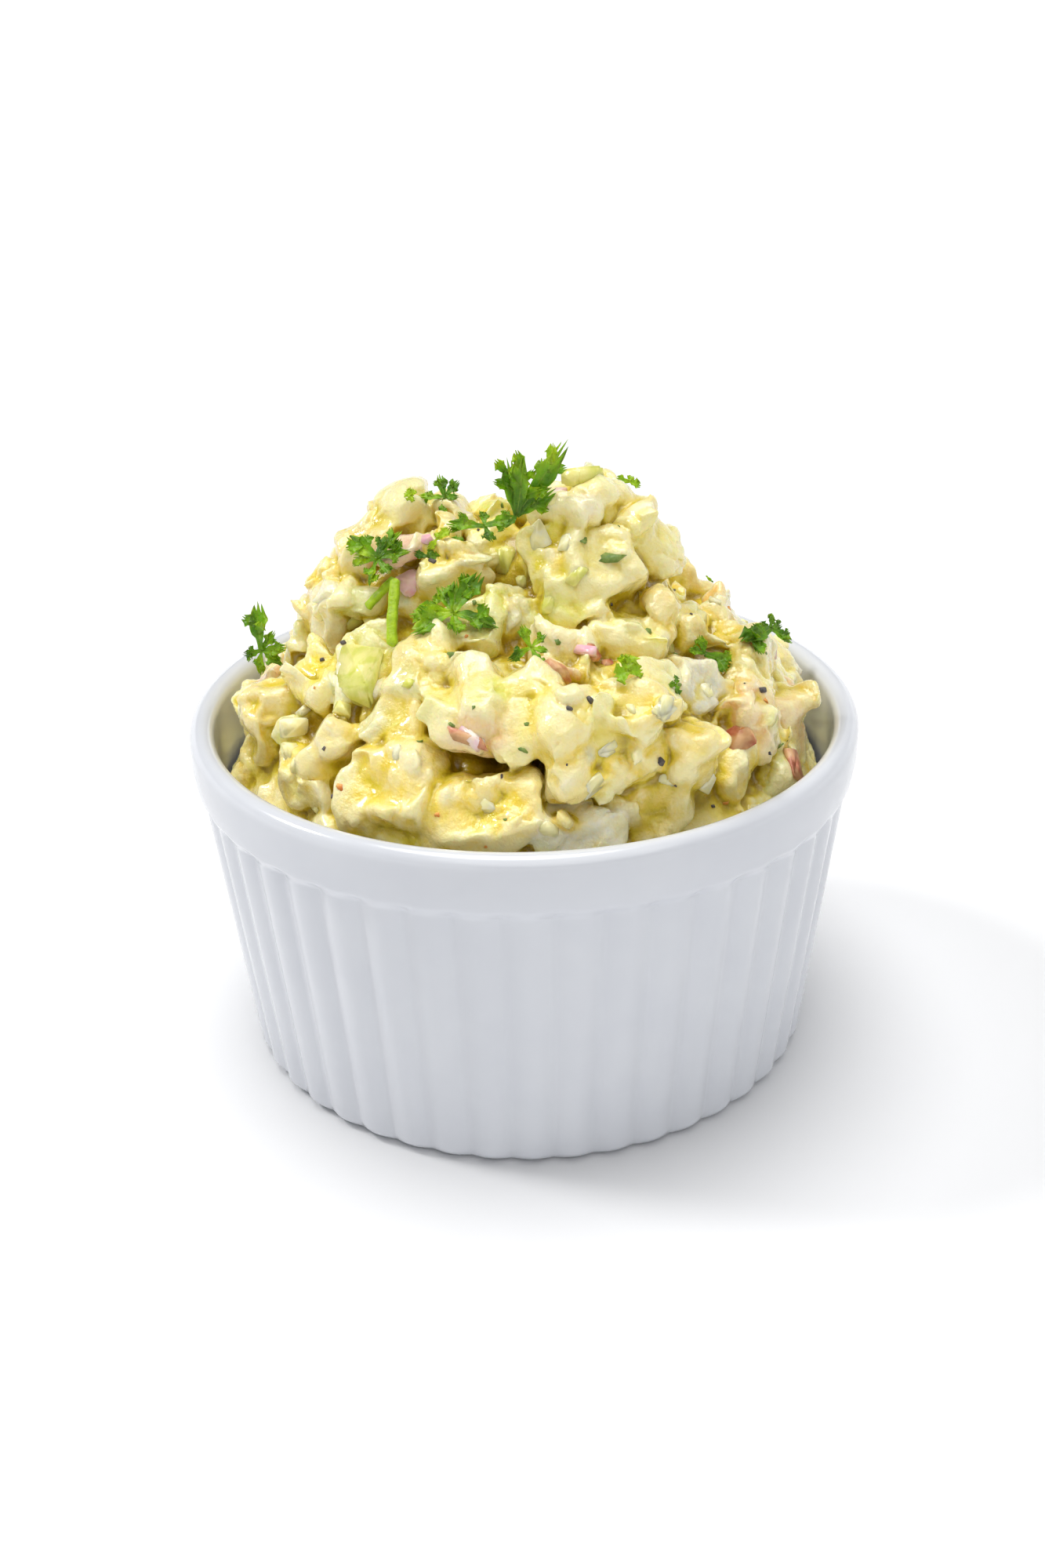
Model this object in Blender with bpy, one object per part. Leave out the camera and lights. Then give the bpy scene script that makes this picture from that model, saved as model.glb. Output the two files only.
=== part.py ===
"""Potato salad heaped in a small white fluted ramekin, with parsley strewn on top.

Lengths are in metres, +Z is up, and the origin is where the middle of the foot stands.
The side that the salad is seen from faces -Y.
"""

import math
import random

import bmesh
import bpy
from mathutils import Matrix, Vector
from mathutils.bvhtree import BVHTree

MM = 0.001

# Ramekin
DISH_HEIGHT = 48.0 * MM
RIM_RADIUS = 45.0 * MM
LIP_INNER_RADIUS = 41.7 * MM
LIP_DROP = 1.8 * MM
BAND_BOTTOM = 40.2 * MM
BAND_STEP = 0.6 * MM
REED_COUNT = 46
REED_DEPTH = 0.8 * MM
REED_SEGMENTS = 4
REED_TOP_RADIUS = 43.2 * MM
REED_BASE_RADIUS = 39.2 * MM
BASE_EDGE_HEIGHT = 2.6 * MM
BASE_EDGE_INSET = 1.7 * MM
FOOT_OUTER_RADIUS = 36.8 * MM
FOOT_INNER_RADIUS = 33.6 * MM
FOOT_RECESS = 1.0 * MM
INSIDE_TOP_RADIUS = 41.1 * MM
INSIDE_TOP_HEIGHT = 38.0 * MM
INSIDE_BASE_RADIUS = 37.2 * MM
CORNER_RADIUS = 5.0 * MM
FLOOR_HEIGHT = 4.0 * MM

# Salad
CLEARANCE = 0.45 * MM
SALAD_SHOULDER_RADIUS = 38.4 * MM
SALAD_SHOULDER_HEIGHT = 41.5 * MM
CORE_SINK = 3.3 * MM
CORE_RING_COUNT = 24
CORE_LATITUDES = (6.0, 19.0, 33.0, 47.0, 61.0, 76.0)
MOUND_CENTRE = Vector((0.0, 0.0, 42.0)) * MM
FILLER_SPACING = 8.6 * MM
FILLER_SIZE = (6.5 * MM, 10.5 * MM)
FILLER_PROUD = (-0.8, 1.3)
FILLER_CROWDING = 0.72
CRUMB_COUNT = 48
CRUMB_SIZE = (2.8 * MM, 4.8 * MM)
CRUMB_PROUD = (0.2, 1.6)
PIECE_TILT = 14.0
PIECE_CORNER = (0.66, 0.92)
FACE_BULGE = 1.0
OVERHANG = 0.35
HOLLOW = (-7.0, 21.0)
HOLLOW_SPAN = 12.0
SEED = 7

# Parsley
LEAF_THICKNESS = 0.36 * MM
LEAF_GAP = 0.3 * MM
LIFT_STEP = 0.15 * MM
SEEN_FROM = Vector((0.0, -210.0, 142.0)) * MM
LEAF_WAVE = 0.5
LEAF_WAVES = 3
LEAF_DROOP = 0.03
LOBE_SHOULDER = 0.82
WIDE_NOTCH = 0.4
NARROW_NOTCH = 0.6

# The rounded lumps that make up the mound's outline: centre and radii in mm.
MOUND_CLUMPS = (
    ((-0.3, 0.0, 42.0), (37.9, 38.0, 26.0)),
    ((8.2, -2.0, 63.0), (12.8, 13.2, 15.4)),
    ((-11.5, 1.0, 59.5), (14.5, 14.0, 14.8)),
    ((-4.5, 2.0, 63.0), (8.0, 9.0, 12.0)),
    ((7.0, -22.0, 50.0), (20.0, 13.0, 13.0)),
    ((4.0, 17.0, 54.0), (17.0, 14.0, 14.5)),
)

# Pieces that can be told apart: longitude and latitude on the mound in degrees (0 is the
# front, + is right), width, height and depth in mm, turn in degrees, and how far the outer
# face stands proud in mm.
PLACED_PIECES = (
    # Lower front, left to right
    (-72, 14, 7, 11, 8, 5, 1.2),
    (-50, 10, 10, 9, 8, 25, 0.6),
    (-29, 13, 12.5, 11.5, 9, 8, 1.6),
    (-25, 3, 11, 6, 6, -5, 0.2),
    (-9, 11, 14, 9, 8, 12, 1.2),
    (9, 7, 12, 6, 5, -8, 0.8),
    (25, 9, 9, 8, 7, 30, 0.6),
    (34, 17, 9, 9, 8, -20, 1.2),
    (58, 18, 8, 10, 8, 15, 1.0),
    (76, 7, 8, 10, 7, 0, 0.6),
    (84, 15, 9, 9, 8, 20, 0.4),
    # Middle front
    (-45, 20, 5, 6, 5, 10, 0.6),
    (-33, 24, 8, 7, 6, 40, -0.6),
    (-15, 33, 11, 9, 8, -10, 2.2),
    (-1, 31, 10, 9, 8, 35, 1.8),
    (-12, 26, 7.5, 2.6, 5, 8, 2.2),
    (11, 28, 11, 9, 8, 15, 2.4),
    (21, 28, 10, 9, 8, -25, 2.4),
    (16, 20, 13, 8, 8, 5, 2.2),
    (49, 29, 8, 7, 6, 10, 0.8),
    (74, 25, 10, 9, 8, 30, 0.8),
    (-62, 28, 9, 7, 6, -15, 0.8),
    (-52, 36, 11, 7, 5, 60, 0.6),
    (-29, 39, 8, 8, 7, 20, 1.2),
    # Left hill
    (-74, 43, 11, 4, 4, 50, 0.9),
    (-82, 41, 10, 9, 9, 10, 3.0),
    (-104, 61, 12, 10, 8, 15, 1.8),
    (-90, 54, 7, 7, 6, 5, 1.8),
    (-68, 60, 5, 6, 3, 20, 0.8),
    (-47, 67, 9, 8, 7, 35, 0.4),
    # The scoop at the upper right
    (61, 76, 12, 9, 7, 0, 0.8),
    (72, 60, 8, 9, 7, 10, 1.0),
    (40, 62, 10, 9, 7, -15, 0.6),
    (44, 47, 11, 9, 8, 30, 1.6),
    (56, 49, 5, 5, 5, 10, 3.2),
    (24, 57, 9, 8, 7, 0, 0.8),
    (-2, 63, 8, 7, 6, 20, 1.0),
    (16, 47, 9, 7, 6, -20, 0.8),
    (8, 41, 5, 4, 4, 0, 0.4),
)

# Big parsley leaves: name, place in mm, the way the face looks (degrees right of the front
# and up), curl, and each lobe's direction (degrees from the leaf's right) and length in mm.
BIG_LEAVES = (
    ("parsley_crown", (-0.4, -0.5, 73.9), (-6, 8), 0.35,
     ((-125, 1.6), (36, 6.0), (55, 11.6), (78, 8.2), (102, 7.2))),
    ("parsley_hilltop", (-9.7, 2.5, 75.6), (-15, 30), 0.3,
     ((-90, 2.7), (0, 2.0), (58, 3.0), (110, 3.2), (186, 3.7))),
    ("parsley_left_hill", (-18.3, -4.3, 69.8), (-25, 35), 0.5,
     ((-101, 3.9), (-37, 3.2), (29, 4.4), (62, 4.8), (90, 3.4), (151, 5.6), (186, 4.0))),
    ("parsley_middle", (-8.5, -12.4, 65.3), (-10, 45), 0.5,
     ((-75, 3.6), (-9, 5.9), (66, 6.2), (95, 4.5), (127, 4.7), (177, 6.2), (205, 6.0))),
    ("parsley_cleft", (-4.5, -5.0, 74.0), (0, 55), 0.4,
     ((-67, 2.6), (10, 4.4), (90, 2.8), (178, 5.0))),
    ("parsley_front", (1.0, -19.7, 63.4), (5, 35), 0.4,
     ((-66, 3.1), (-17, 2.2), (40, 2.7), (114, 3.1), (203, 3.3))),
    ("parsley_right", (22.9, -13.8, 59.6), (30, 35), 0.3,
     ((-28, 4.9), (90, 2.6), (146, 2.4))),
    ("parsley_right_rim", (33.3, 1.0, 56.9), (50, 30), 0.3,
     ((-51, 3.8), (-6, 2.8), (37, 2.5), (134, 1.8), (182, 6.6))),
    ("parsley_left_rim", (-35.3, 2.5, 54.7), (-20, 15), 0.4,
     ((-99, 3.6), (-39, 3.6), (4, 3.5), (59, 3.4), (103, 6.5), (200, 3.0))),
    ("parsley_back_left", (-16.5, 19.5, 61.0), (215, 50), 0.5,
     ((-80, 4.0), (-20, 4.6), (40, 5.2), (90, 6.0), (150, 5.0), (210, 4.4))),
    ("parsley_back_right", (16.0, 24.0, 63.0), (150, 45), 0.5,
     ((-95, 3.6), (-30, 4.2), (35, 5.4), (95, 5.2), (160, 4.8))),
    ("parsley_back_low", (2.0, 34.0, 54.0), (180, 30), 0.4,
     ((-90, 3.0), (10, 4.4), (60, 4.8), (120, 4.6), (175, 4.0))),
)

# Small cut pieces of leaf and stem: name, place in mm, facing, turn, length and width in mm.
SMALL_LEAVES = (
    ("parsley_stem_long", (-16.1, -10.3, 64.7), (-30, 40), 108, 9.0, 1.5),
    ("parsley_stem_short", (-17.7, -8.6, 66.6), (-35, 40), 62, 5.2, 1.3),
    ("parsley_chip_hill", (-10.4, -3.5, 72.0), (-20, 40), 55, 4.0, 1.3),
    ("parsley_chip_low", (-11.7, -6.8, 70.8), (-15, 45), 0, 3.8, 1.6),
    ("parsley_chip_mid", (-8.0, -4.2, 71.3), (-10, 40), 82, 2.8, 1.6),
    ("parsley_chip_left", (-14.1, 5.6, 74.9), (-20, 30), 80, 1.9, 1.5),
    ("parsley_chip_right", (14.1, 0.6, 77.7), (20, 40), -22, 3.5, 1.4),
    ("parsley_curl_front", (12.6, -24.0, 61.8), (15, 45), 10, 4.0, 3.2),
    ("parsley_curl_low", (18.4, -24.0, 59.9), (25, 30), 80, 2.7, 1.3),
    ("parsley_chip_back", (-4.0, 30.0, 58.6), (190, 40), 30, 4.0, 1.6),
    ("parsley_chip_back_high", (6.0, 16.0, 66.0), (170, 55), -40, 4.2, 1.8),
    ("parsley_chip_back_side", (27.0, 14.0, 58.0), (120, 40), 70, 4.0, 1.5),
)


def clear_scene():
    """Removes whatever objects the scene starts with."""
    for item in list(bpy.data.objects):
        bpy.data.objects.remove(item, do_unlink=True)


def make_material(name, color, roughness):
    """Returns a plain Principled material."""
    material = bpy.data.materials.new(name)
    material.use_nodes = True
    shader = material.node_tree.nodes["Principled BSDF"]
    shader.inputs["Base Color"].default_value = (*color, 1.0)
    shader.inputs["Roughness"].default_value = roughness
    shader.inputs["Metallic"].default_value = 0.0
    material.diffuse_color = (*color, 1.0)
    return material


def finish_object(name, bm, material, smooth_angle=None):
    """Turns a bmesh into a named object whose faces point out."""
    bmesh.ops.recalc_face_normals(bm, faces=bm.faces)
    mesh = bpy.data.meshes.new(name)
    bm.to_mesh(mesh)
    bm.free()
    mesh.materials.append(material)
    if smooth_angle is not None:
        mesh.shade_smooth()
        mesh.set_sharp_from_angle(angle=math.radians(smooth_angle))
    item = bpy.data.objects.new(name, mesh)
    bpy.context.scene.collection.objects.link(item)
    return item


def add_ring(bm, count, radius, height):
    """Adds a level ring of vertices; radius is a number or a function of the turn."""
    ring = []
    for step in range(count):
        turn = math.tau * step / count
        reach = radius(turn) if callable(radius) else radius
        ring.append(bm.verts.new((reach * math.cos(turn), reach * math.sin(turn), height)))
    return ring


def join_rings(bm, first, second):
    """Skins the strip between two rings, one of which may have a multiple of the other's points."""
    fine, coarse = (first, second) if len(first) >= len(second) else (second, first)
    ratio = len(fine) // len(coarse)
    middle = (ratio + 1) // 2
    for step in range(len(coarse)):
        near = coarse[step]
        far = coarse[(step + 1) % len(coarse)]
        for part in range(ratio):
            here = fine[(step * ratio + part) % len(fine)]
            following = fine[(step * ratio + part + 1) % len(fine)]
            bm.faces.new((here, following, near if part < middle else far))
            if part == middle - 1:
                bm.faces.new((following, far, near))


def close_ring(bm, ring, height):
    """Closes a ring with a fan round a point on the axis."""
    hub = bm.verts.new((0.0, 0.0, height))
    for step, vert in enumerate(ring):
        bm.faces.new((vert, ring[(step + 1) % len(ring)], hub))


def reeded(radius):
    """Returns the outline of the fluted wall: round reeds side by side with sharp valleys."""
    def outline(turn):
        return radius + REED_DEPTH * abs(math.sin(REED_COUNT * turn / 2.0))
    return outline


def inside_radius(height):
    """Returns the inner radius of the ramekin at a height above its rounded corner."""
    slope = (INSIDE_TOP_RADIUS - INSIDE_BASE_RADIUS) / (INSIDE_TOP_HEIGHT - FLOOR_HEIGHT - CORNER_RADIUS)
    corner_top = FLOOR_HEIGHT + CORNER_RADIUS
    if height >= corner_top:
        return min(INSIDE_BASE_RADIUS + slope * (height - corner_top), LIP_INNER_RADIUS)
    drop = min(corner_top - height, CORNER_RADIUS)
    return INSIDE_BASE_RADIUS - CORNER_RADIUS + math.sqrt(CORNER_RADIUS ** 2 - drop ** 2)


def dish_rings(bm):
    """Adds the ramekin's rings from the recess under the foot, up outside and down inside."""
    fine = REED_COUNT * REED_SEGMENTS
    medium = REED_COUNT * 2
    coarse = REED_COUNT
    lip_middle = (RIM_RADIUS + LIP_INNER_RADIUS) / 2.0
    lip_half = (RIM_RADIUS - LIP_INNER_RADIUS) / 2.0
    yield add_ring(bm, coarse, FOOT_INNER_RADIUS - FOOT_RECESS, FOOT_RECESS)
    yield add_ring(bm, coarse, FOOT_INNER_RADIUS, 0.0)
    yield add_ring(bm, coarse, FOOT_OUTER_RADIUS, 0.0)
    for share in (0.25, 0.62, 1.0):
        inset = BASE_EDGE_INSET * (1.0 - math.sqrt(1.0 - (1.0 - share) ** 2))
        yield add_ring(bm, fine, reeded(REED_BASE_RADIUS - inset), BASE_EDGE_HEIGHT * share)
    yield add_ring(bm, fine, reeded(REED_TOP_RADIUS), BAND_BOTTOM - 0.3 * MM)
    yield add_ring(bm, medium, RIM_RADIUS - BAND_STEP / 2.0, BAND_BOTTOM)
    yield add_ring(bm, medium, RIM_RADIUS, BAND_BOTTOM + BAND_STEP)
    yield add_ring(bm, medium, RIM_RADIUS, DISH_HEIGHT - LIP_DROP)
    for angle in (30, 60, 90, 135, 180):
        turn = math.radians(angle)
        reach = lip_middle + lip_half * math.cos(turn)
        yield add_ring(bm, medium, reach, DISH_HEIGHT - LIP_DROP + LIP_DROP * math.sin(turn))
    yield add_ring(bm, medium, INSIDE_TOP_RADIUS, INSIDE_TOP_HEIGHT)
    for share in (1.0, 0.5, 0.15, 0.0):
        height = FLOOR_HEIGHT + CORNER_RADIUS * share
        yield add_ring(bm, coarse, inside_radius(height), height)


def make_dish(material):
    """Builds the ramekin as one turned wall with a reeded outside."""
    bm = bmesh.new()
    rings = list(dish_rings(bm))
    for lower, upper in zip(rings, rings[1:]):
        join_rings(bm, lower, upper)
    close_ring(bm, rings[0], FOOT_RECESS)
    close_ring(bm, rings[-1], FLOOR_HEIGHT)
    return finish_object("dish", bm, material, smooth_angle=40)


def direction(longitude, latitude):
    """Returns the unit vector from the mound's centre to a longitude and latitude."""
    lon = math.radians(longitude)
    lat = math.radians(latitude)
    return Vector((math.cos(lat) * math.sin(lon), -math.cos(lat) * math.cos(lon), math.sin(lat)))


def mound_reach(way):
    """Returns how far the mound's outline lies from its centre along a unit vector."""
    best = 0.0
    for centre, radii in MOUND_CLUMPS:
        start = MOUND_CENTRE / MM - Vector(centre)
        scaled_way = Vector([w / r for w, r in zip(way, radii)])
        scaled_start = Vector([s / r for s, r in zip(start, radii)])
        a = scaled_way.dot(scaled_way)
        b = scaled_start.dot(scaled_way)
        c = scaled_start.dot(scaled_start) - 1.0
        inner = b * b - a * c
        if inner > 0.0:
            best = max(best, (math.sqrt(inner) - b) / a)
    return best * MM


def mound_point(longitude, latitude, lift=0.0):
    """Returns a point on the mound's outline, or above it along the way from the centre."""
    way = direction(longitude, latitude)
    return MOUND_CENTRE + way * (mound_reach(way) + lift)


def mound_frame(longitude, latitude):
    """Returns the outline's point there, with its outward, rightward and upward unit vectors."""
    step = 1.5
    high = min(latitude, 90.0 - step)
    side = mound_point(longitude + step, high) - mound_point(longitude - step, high)
    rise = mound_point(longitude, high + step) - mound_point(longitude, high - step)
    outward = side.cross(rise).normalized()
    outward = (outward + OVERHANG * direction(longitude, high)).normalized()
    right = (side - outward * side.dot(outward)).normalized()
    return mound_point(longitude, high), outward, right, outward.cross(right)


def piece_matrix(longitude, latitude, size, turn, proud, rng):
    """Returns a piece's place: its outer face stands proud of the outline."""
    point, outward, right, upward = mound_frame(longitude, latitude)
    basis = Matrix((right, upward, outward)).transposed()
    spin = Matrix.Rotation(math.radians(turn), 3, "Z")
    tip = Matrix.Rotation(math.radians(rng.uniform(-PIECE_TILT, PIECE_TILT)), 3, "X")
    lean = Matrix.Rotation(math.radians(rng.uniform(-PIECE_TILT, PIECE_TILT)), 3, "Y")
    centre = point + outward * (proud * MM - size[2] / 2.0)
    return Matrix.Translation(centre) @ (basis @ spin @ tip @ lean).to_4x4()


def piece_points(size, rng, bulge):
    """Returns the corners of an uneven cut cube, with a point raised on each face if bulge > 0."""
    half = Vector(size) / 2.0
    points = []
    for corner in range(8):
        signs = [1 if corner & bit else -1 for bit in (1, 2, 4)]
        points.append(Vector([s * h * rng.uniform(*PIECE_CORNER) for s, h in zip(signs, half)]))
    if bulge > 0.0:
        for axis in range(3):
            for sign in (-1, 1):
                point = Vector([h * rng.uniform(-0.3, 0.3) for h in half])
                point[axis] = sign * half[axis] * bulge
                points.append(point)
    return points


def kept_inside(points):
    """Moves a piece inward until none of it comes nearer the ramekin than the clearance."""
    excess = 0.0
    flat_of_facet = math.cos(math.pi / REED_COUNT)
    for point in points:
        if point.z < DISH_HEIGHT + CLEARANCE:
            limit = inside_radius(min(point.z, DISH_HEIGHT)) * flat_of_facet - CLEARANCE
            excess = max(excess, math.hypot(point.x, point.y) - limit)
    if excess <= 0.0:
        return points
    middle = sum(points, Vector()) / len(points)
    inward = -Vector((middle.x, middle.y, 0.0)).normalized()
    return [point + inward * excess * 1.02 for point in points]


def salad_layout(rng):
    """Lists each piece's longitude, latitude, size, turn, proud and bulge: placed ones, then fillers."""
    layout = []
    taken = []
    for lon, lat, width, height, depth, turn, proud in PLACED_PIECES:
        size = Vector((width, height, depth)) * MM
        layout.append((lon, lat, size, turn, proud, FACE_BULGE))
        taken.append((mound_point(lon, lat), max(width, height) * MM / 2.0))
    spots = int(math.tau * SALAD_SHOULDER_RADIUS ** 2 / FILLER_SPACING ** 2)
    for index in range(spots):
        lat = math.degrees(math.asin((index + 0.5) / spots))
        lon = math.degrees(index * math.pi * (3.0 - math.sqrt(5.0))) % 360.0 - 180.0
        lat = lat + rng.uniform(-2.5, 2.5)
        size = Vector([rng.uniform(*FILLER_SIZE) for _ in range(3)])
        turn = rng.uniform(0.0, 90.0)
        proud = rng.uniform(*FILLER_PROUD)
        point = mound_point(lon, lat)
        reach = max(size.x, size.y) / 2.0
        if all((point - other).length > FILLER_CROWDING * (reach + radius) for other, radius in taken):
            layout.append((lon, lat, size, turn, proud, 0.0))
            taken.append((point, reach))
    return layout


def make_piece(points, name):
    """Builds one cut piece as the hull of its points."""
    bm = bmesh.new()
    for point in points:
        bm.verts.new(point)
    hull = bmesh.ops.convex_hull(bm, input=bm.verts)
    stray = [item for item in hull["geom_interior"] if isinstance(item, bmesh.types.BMVert)]
    bmesh.ops.delete(bm, geom=stray, context="VERTS")
    bmesh.ops.recalc_face_normals(bm, faces=bm.faces)
    mesh = bpy.data.meshes.new(name)
    bm.to_mesh(mesh)
    bm.free()
    return bpy.data.objects.new(name, mesh)


def make_core(material):
    """Builds the salad's body: it fills the ramekin, then rises as the bare mound."""
    bm = bmesh.new()
    rings = []
    for share in (0.02, 0.25, 0.6, 1.0):
        height = FLOOR_HEIGHT + CLEARANCE + CORNER_RADIUS * share
        radius = inside_radius(height - CLEARANCE) - CLEARANCE
        rings.append(add_ring(bm, CORE_RING_COUNT, radius, height))
    rings.append(add_ring(bm, CORE_RING_COUNT, INSIDE_TOP_RADIUS - CLEARANCE, INSIDE_TOP_HEIGHT))
    rings.append(add_ring(bm, CORE_RING_COUNT, SALAD_SHOULDER_RADIUS, SALAD_SHOULDER_HEIGHT))
    for latitude in CORE_LATITUDES:
        ring = []
        for step in range(CORE_RING_COUNT):
            longitude = 90.0 + 360.0 * step / CORE_RING_COUNT
            ring.append(bm.verts.new(mound_point(longitude, latitude, -CORE_SINK)))
        rings.append(ring)
    for lower, upper in zip(rings, rings[1:]):
        join_rings(bm, lower, upper)
    close_ring(bm, rings[0], FLOOR_HEIGHT + CLEARANCE)
    top = bm.verts.new(mound_point(0.0, 90.0, -CORE_SINK))
    for step, vert in enumerate(rings[-1]):
        bm.faces.new((vert, rings[-1][(step + 1) % CORE_RING_COUNT], top))
    return finish_object("potato_salad", bm, material)


def shell_volume(faces):
    """Returns the signed volume inside a set of connected faces."""
    volume = 0.0
    for face in faces:
        first = face.verts[0].co
        for second, third in zip(face.verts[1:], face.verts[2:]):
            volume += first.dot(second.co.cross(third.co)) / 6.0
    return volume


def keep_largest_shell(bm):
    """Drops loose scraps and fills sealed hollows by keeping only the biggest shell."""
    shells = []
    left = set(bm.faces)
    while left:
        shell = {left.pop()}
        edge_of_shell = list(shell)
        while edge_of_shell:
            face = edge_of_shell.pop()
            for edge in face.edges:
                for neighbour in edge.link_faces:
                    if neighbour in left:
                        left.remove(neighbour)
                        shell.add(neighbour)
                        edge_of_shell.append(neighbour)
        shells.append(shell)
    largest = max(shells, key=shell_volume)
    scrap = [face for shell in shells if shell is not largest for face in shell]
    bmesh.ops.delete(bm, geom=scrap, context="FACES")


def fuse(body, pieces):
    """Joins the pieces to the body with one Boolean union, applied, and removes them."""
    group = bpy.data.collections.new("pieces")
    bpy.context.scene.collection.children.link(group)
    for piece in pieces:
        group.objects.link(piece)
    union = body.modifiers.new("union", "BOOLEAN")
    union.operation = "UNION"
    union.operand_type = "COLLECTION"
    union.collection = group
    union.solver = "EXACT"
    evaluated = body.evaluated_get(bpy.context.evaluated_depsgraph_get())
    joined = bpy.data.meshes.new_from_object(evaluated)
    body.modifiers.clear()
    body.data = joined
    for piece in pieces:
        bpy.data.objects.remove(piece, do_unlink=True)
    bpy.data.collections.remove(group)
    bm = bmesh.new()
    bm.from_mesh(joined)
    bmesh.ops.triangulate(bm, faces=bm.faces)
    keep_largest_shell(bm)
    bm.to_mesh(joined)
    bm.free()


def make_salad(material):
    """Builds the heap: the body with potato, celery, onion and egg pieces fused on."""
    rng = random.Random(SEED)
    core = make_core(material)
    pieces = []
    for lon, lat, size, turn, proud, bulge in salad_layout(rng):
        place = piece_matrix(lon, lat, size, turn, proud, rng)
        points = [place @ point for point in piece_points(size, rng, bulge)]
        pieces.append(make_piece(kept_inside(points), f"piece_{len(pieces)}"))
    for _ in range(CRUMB_COUNT):
        lon = rng.uniform(-180.0, 180.0)
        lat = math.degrees(math.asin(rng.uniform(0.03, 0.99)))
        size = Vector([rng.uniform(*CRUMB_SIZE) for _ in range(3)])
        if math.hypot(lon - HOLLOW[0], lat - HOLLOW[1]) < HOLLOW_SPAN:
            continue
        place = piece_matrix(lon, lat, size, rng.uniform(0.0, 90.0), rng.uniform(*CRUMB_PROUD), rng)
        points = [place @ point for point in piece_points(size, rng, 0.0)]
        pieces.append(make_piece(kept_inside(points), f"piece_{len(pieces)}"))
    fuse(core, pieces)
    return core


def lobed_outline(lobes):
    """Returns a leaf's outline as (angle, length) pairs: a notch, a shoulder, a tip, a shoulder."""
    ordered = sorted(lobes)
    outline = []
    for index, (angle, length) in enumerate(ordered):
        before_angle, before_length = ordered[index - 1]
        gap = (angle - before_angle) % 360.0
        after_angle = ordered[(index + 1) % len(ordered)][0]
        next_gap = (after_angle - angle) % 360.0
        notch = min(length, before_length) * (WIDE_NOTCH if gap > 45.0 else NARROW_NOTCH)
        outline.append((angle - gap / 2.0, notch))
        outline.append((angle - min(gap * 0.36, 20.0), length * LOBE_SHOULDER))
        outline.append((angle, length))
        outline.append((angle + min(next_gap * 0.36, 20.0), length * LOBE_SHOULDER))
    return outline


def strip_outline(length, width):
    """Returns the outline of a small cut piece, longer than it is wide."""
    half_length = length / 2.0
    half_width = width / 2.0
    corner = math.degrees(math.atan2(half_width * 0.8, half_length * 0.85))
    reach = math.hypot(half_width * 0.8, half_length * 0.85)
    outline = []
    for start in (0.0, 180.0):
        outline.append((start, half_length))
        outline.append((start + corner, reach))
        outline.append((start + 90.0, half_width))
        outline.append((start + 180.0 - corner, reach))
    return outline


def facing_basis(facing, turn):
    """Returns a leaf's own right, up and outward axes from the way that its face looks."""
    outward = direction(*facing)
    right = Vector((0.0, 0.0, 1.0)).cross(outward).normalized()
    basis = Matrix((right, outward.cross(right), outward)).transposed()
    return basis @ Matrix.Rotation(math.radians(turn), 3, "Z")


def leaf_points(outline, curl, rings):
    """Returns the middle surface of a leaf as a hub and its rings, in mm in its own axes."""
    layers = [[Vector((0.0, 0.0, 0.0))]]
    for ring in range(1, rings + 1):
        share = ring / rings
        layer = []
        for index, (angle, length) in enumerate(outline):
            turn = math.radians(angle)
            reach = length * share
            wave = LEAF_WAVE * curl * share * math.sin(index * math.tau * LEAF_WAVES / len(outline))
            rise = wave - LEAF_DROOP * curl * reach * reach
            layer.append(Vector((reach * math.cos(turn), reach * math.sin(turn), rise)))
        layers.append(layer)
    return layers


def leaf_mesh(layers, place):
    """Builds a leaf as a thin closed solid whose two faces are split into triangles alike."""
    bm = bmesh.new()
    half = Vector((0.0, 0.0, LEAF_THICKNESS / 2.0))
    sides = []
    for sign in (1.0, -1.0):
        side = []
        for layer in layers:
            side.append([bm.verts.new(place @ (point * MM + half * sign)) for point in layer])
        sides.append(side)
    count = len(layers[1])
    for side in sides:
        for step in range(count):
            after = (step + 1) % count
            bm.faces.new((side[0][0], side[1][step], side[1][after]))
            for inner, outer in zip(side[1:], side[2:]):
                bm.faces.new((inner[step], outer[step], outer[after]))
                bm.faces.new((inner[step], outer[after], inner[after]))
    for step in range(count):
        after = (step + 1) % count
        top_edge = sides[0][-1]
        under_edge = sides[1][-1]
        bm.faces.new((top_edge[step], under_edge[step], under_edge[after]))
        bm.faces.new((top_edge[step], under_edge[after], top_edge[after]))
    return bm


def tree_of(layers, place, margin):
    """Returns a search tree of a leaf's own solid, thickened by a margin on both faces."""
    bm = leaf_mesh(layers, place)
    bmesh.ops.recalc_face_normals(bm, faces=bm.faces)
    bm.normal_update()
    for vert in bm.verts:
        vert.co += vert.normal * margin
    tree = BVHTree.FromBMesh(bm)
    bm.free()
    return tree


def settle(layers, basis, centre, away, blockers):
    """Returns the leaf's place, moved along a unit vector until it is clear of every blocker."""
    lift = 0.0
    while True:
        place = Matrix.Translation(centre + away * lift) @ basis.to_4x4()
        tree = tree_of(layers, place, LEAF_GAP)
        touching = any(tree.overlap(blocker) for blocker in blockers)
        buried = any(is_inside(blockers[0], place @ (layer[0] * MM)) for layer in layers)
        if not touching and not buried:
            return place
        lift += LIFT_STEP


def is_inside(tree, point):
    """Tells whether a point lies inside a closed surface, from the face nearest to it."""
    nearest, normal, _, _ = tree.find_nearest(point)
    return (point - nearest).dot(normal) < 0.0


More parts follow.
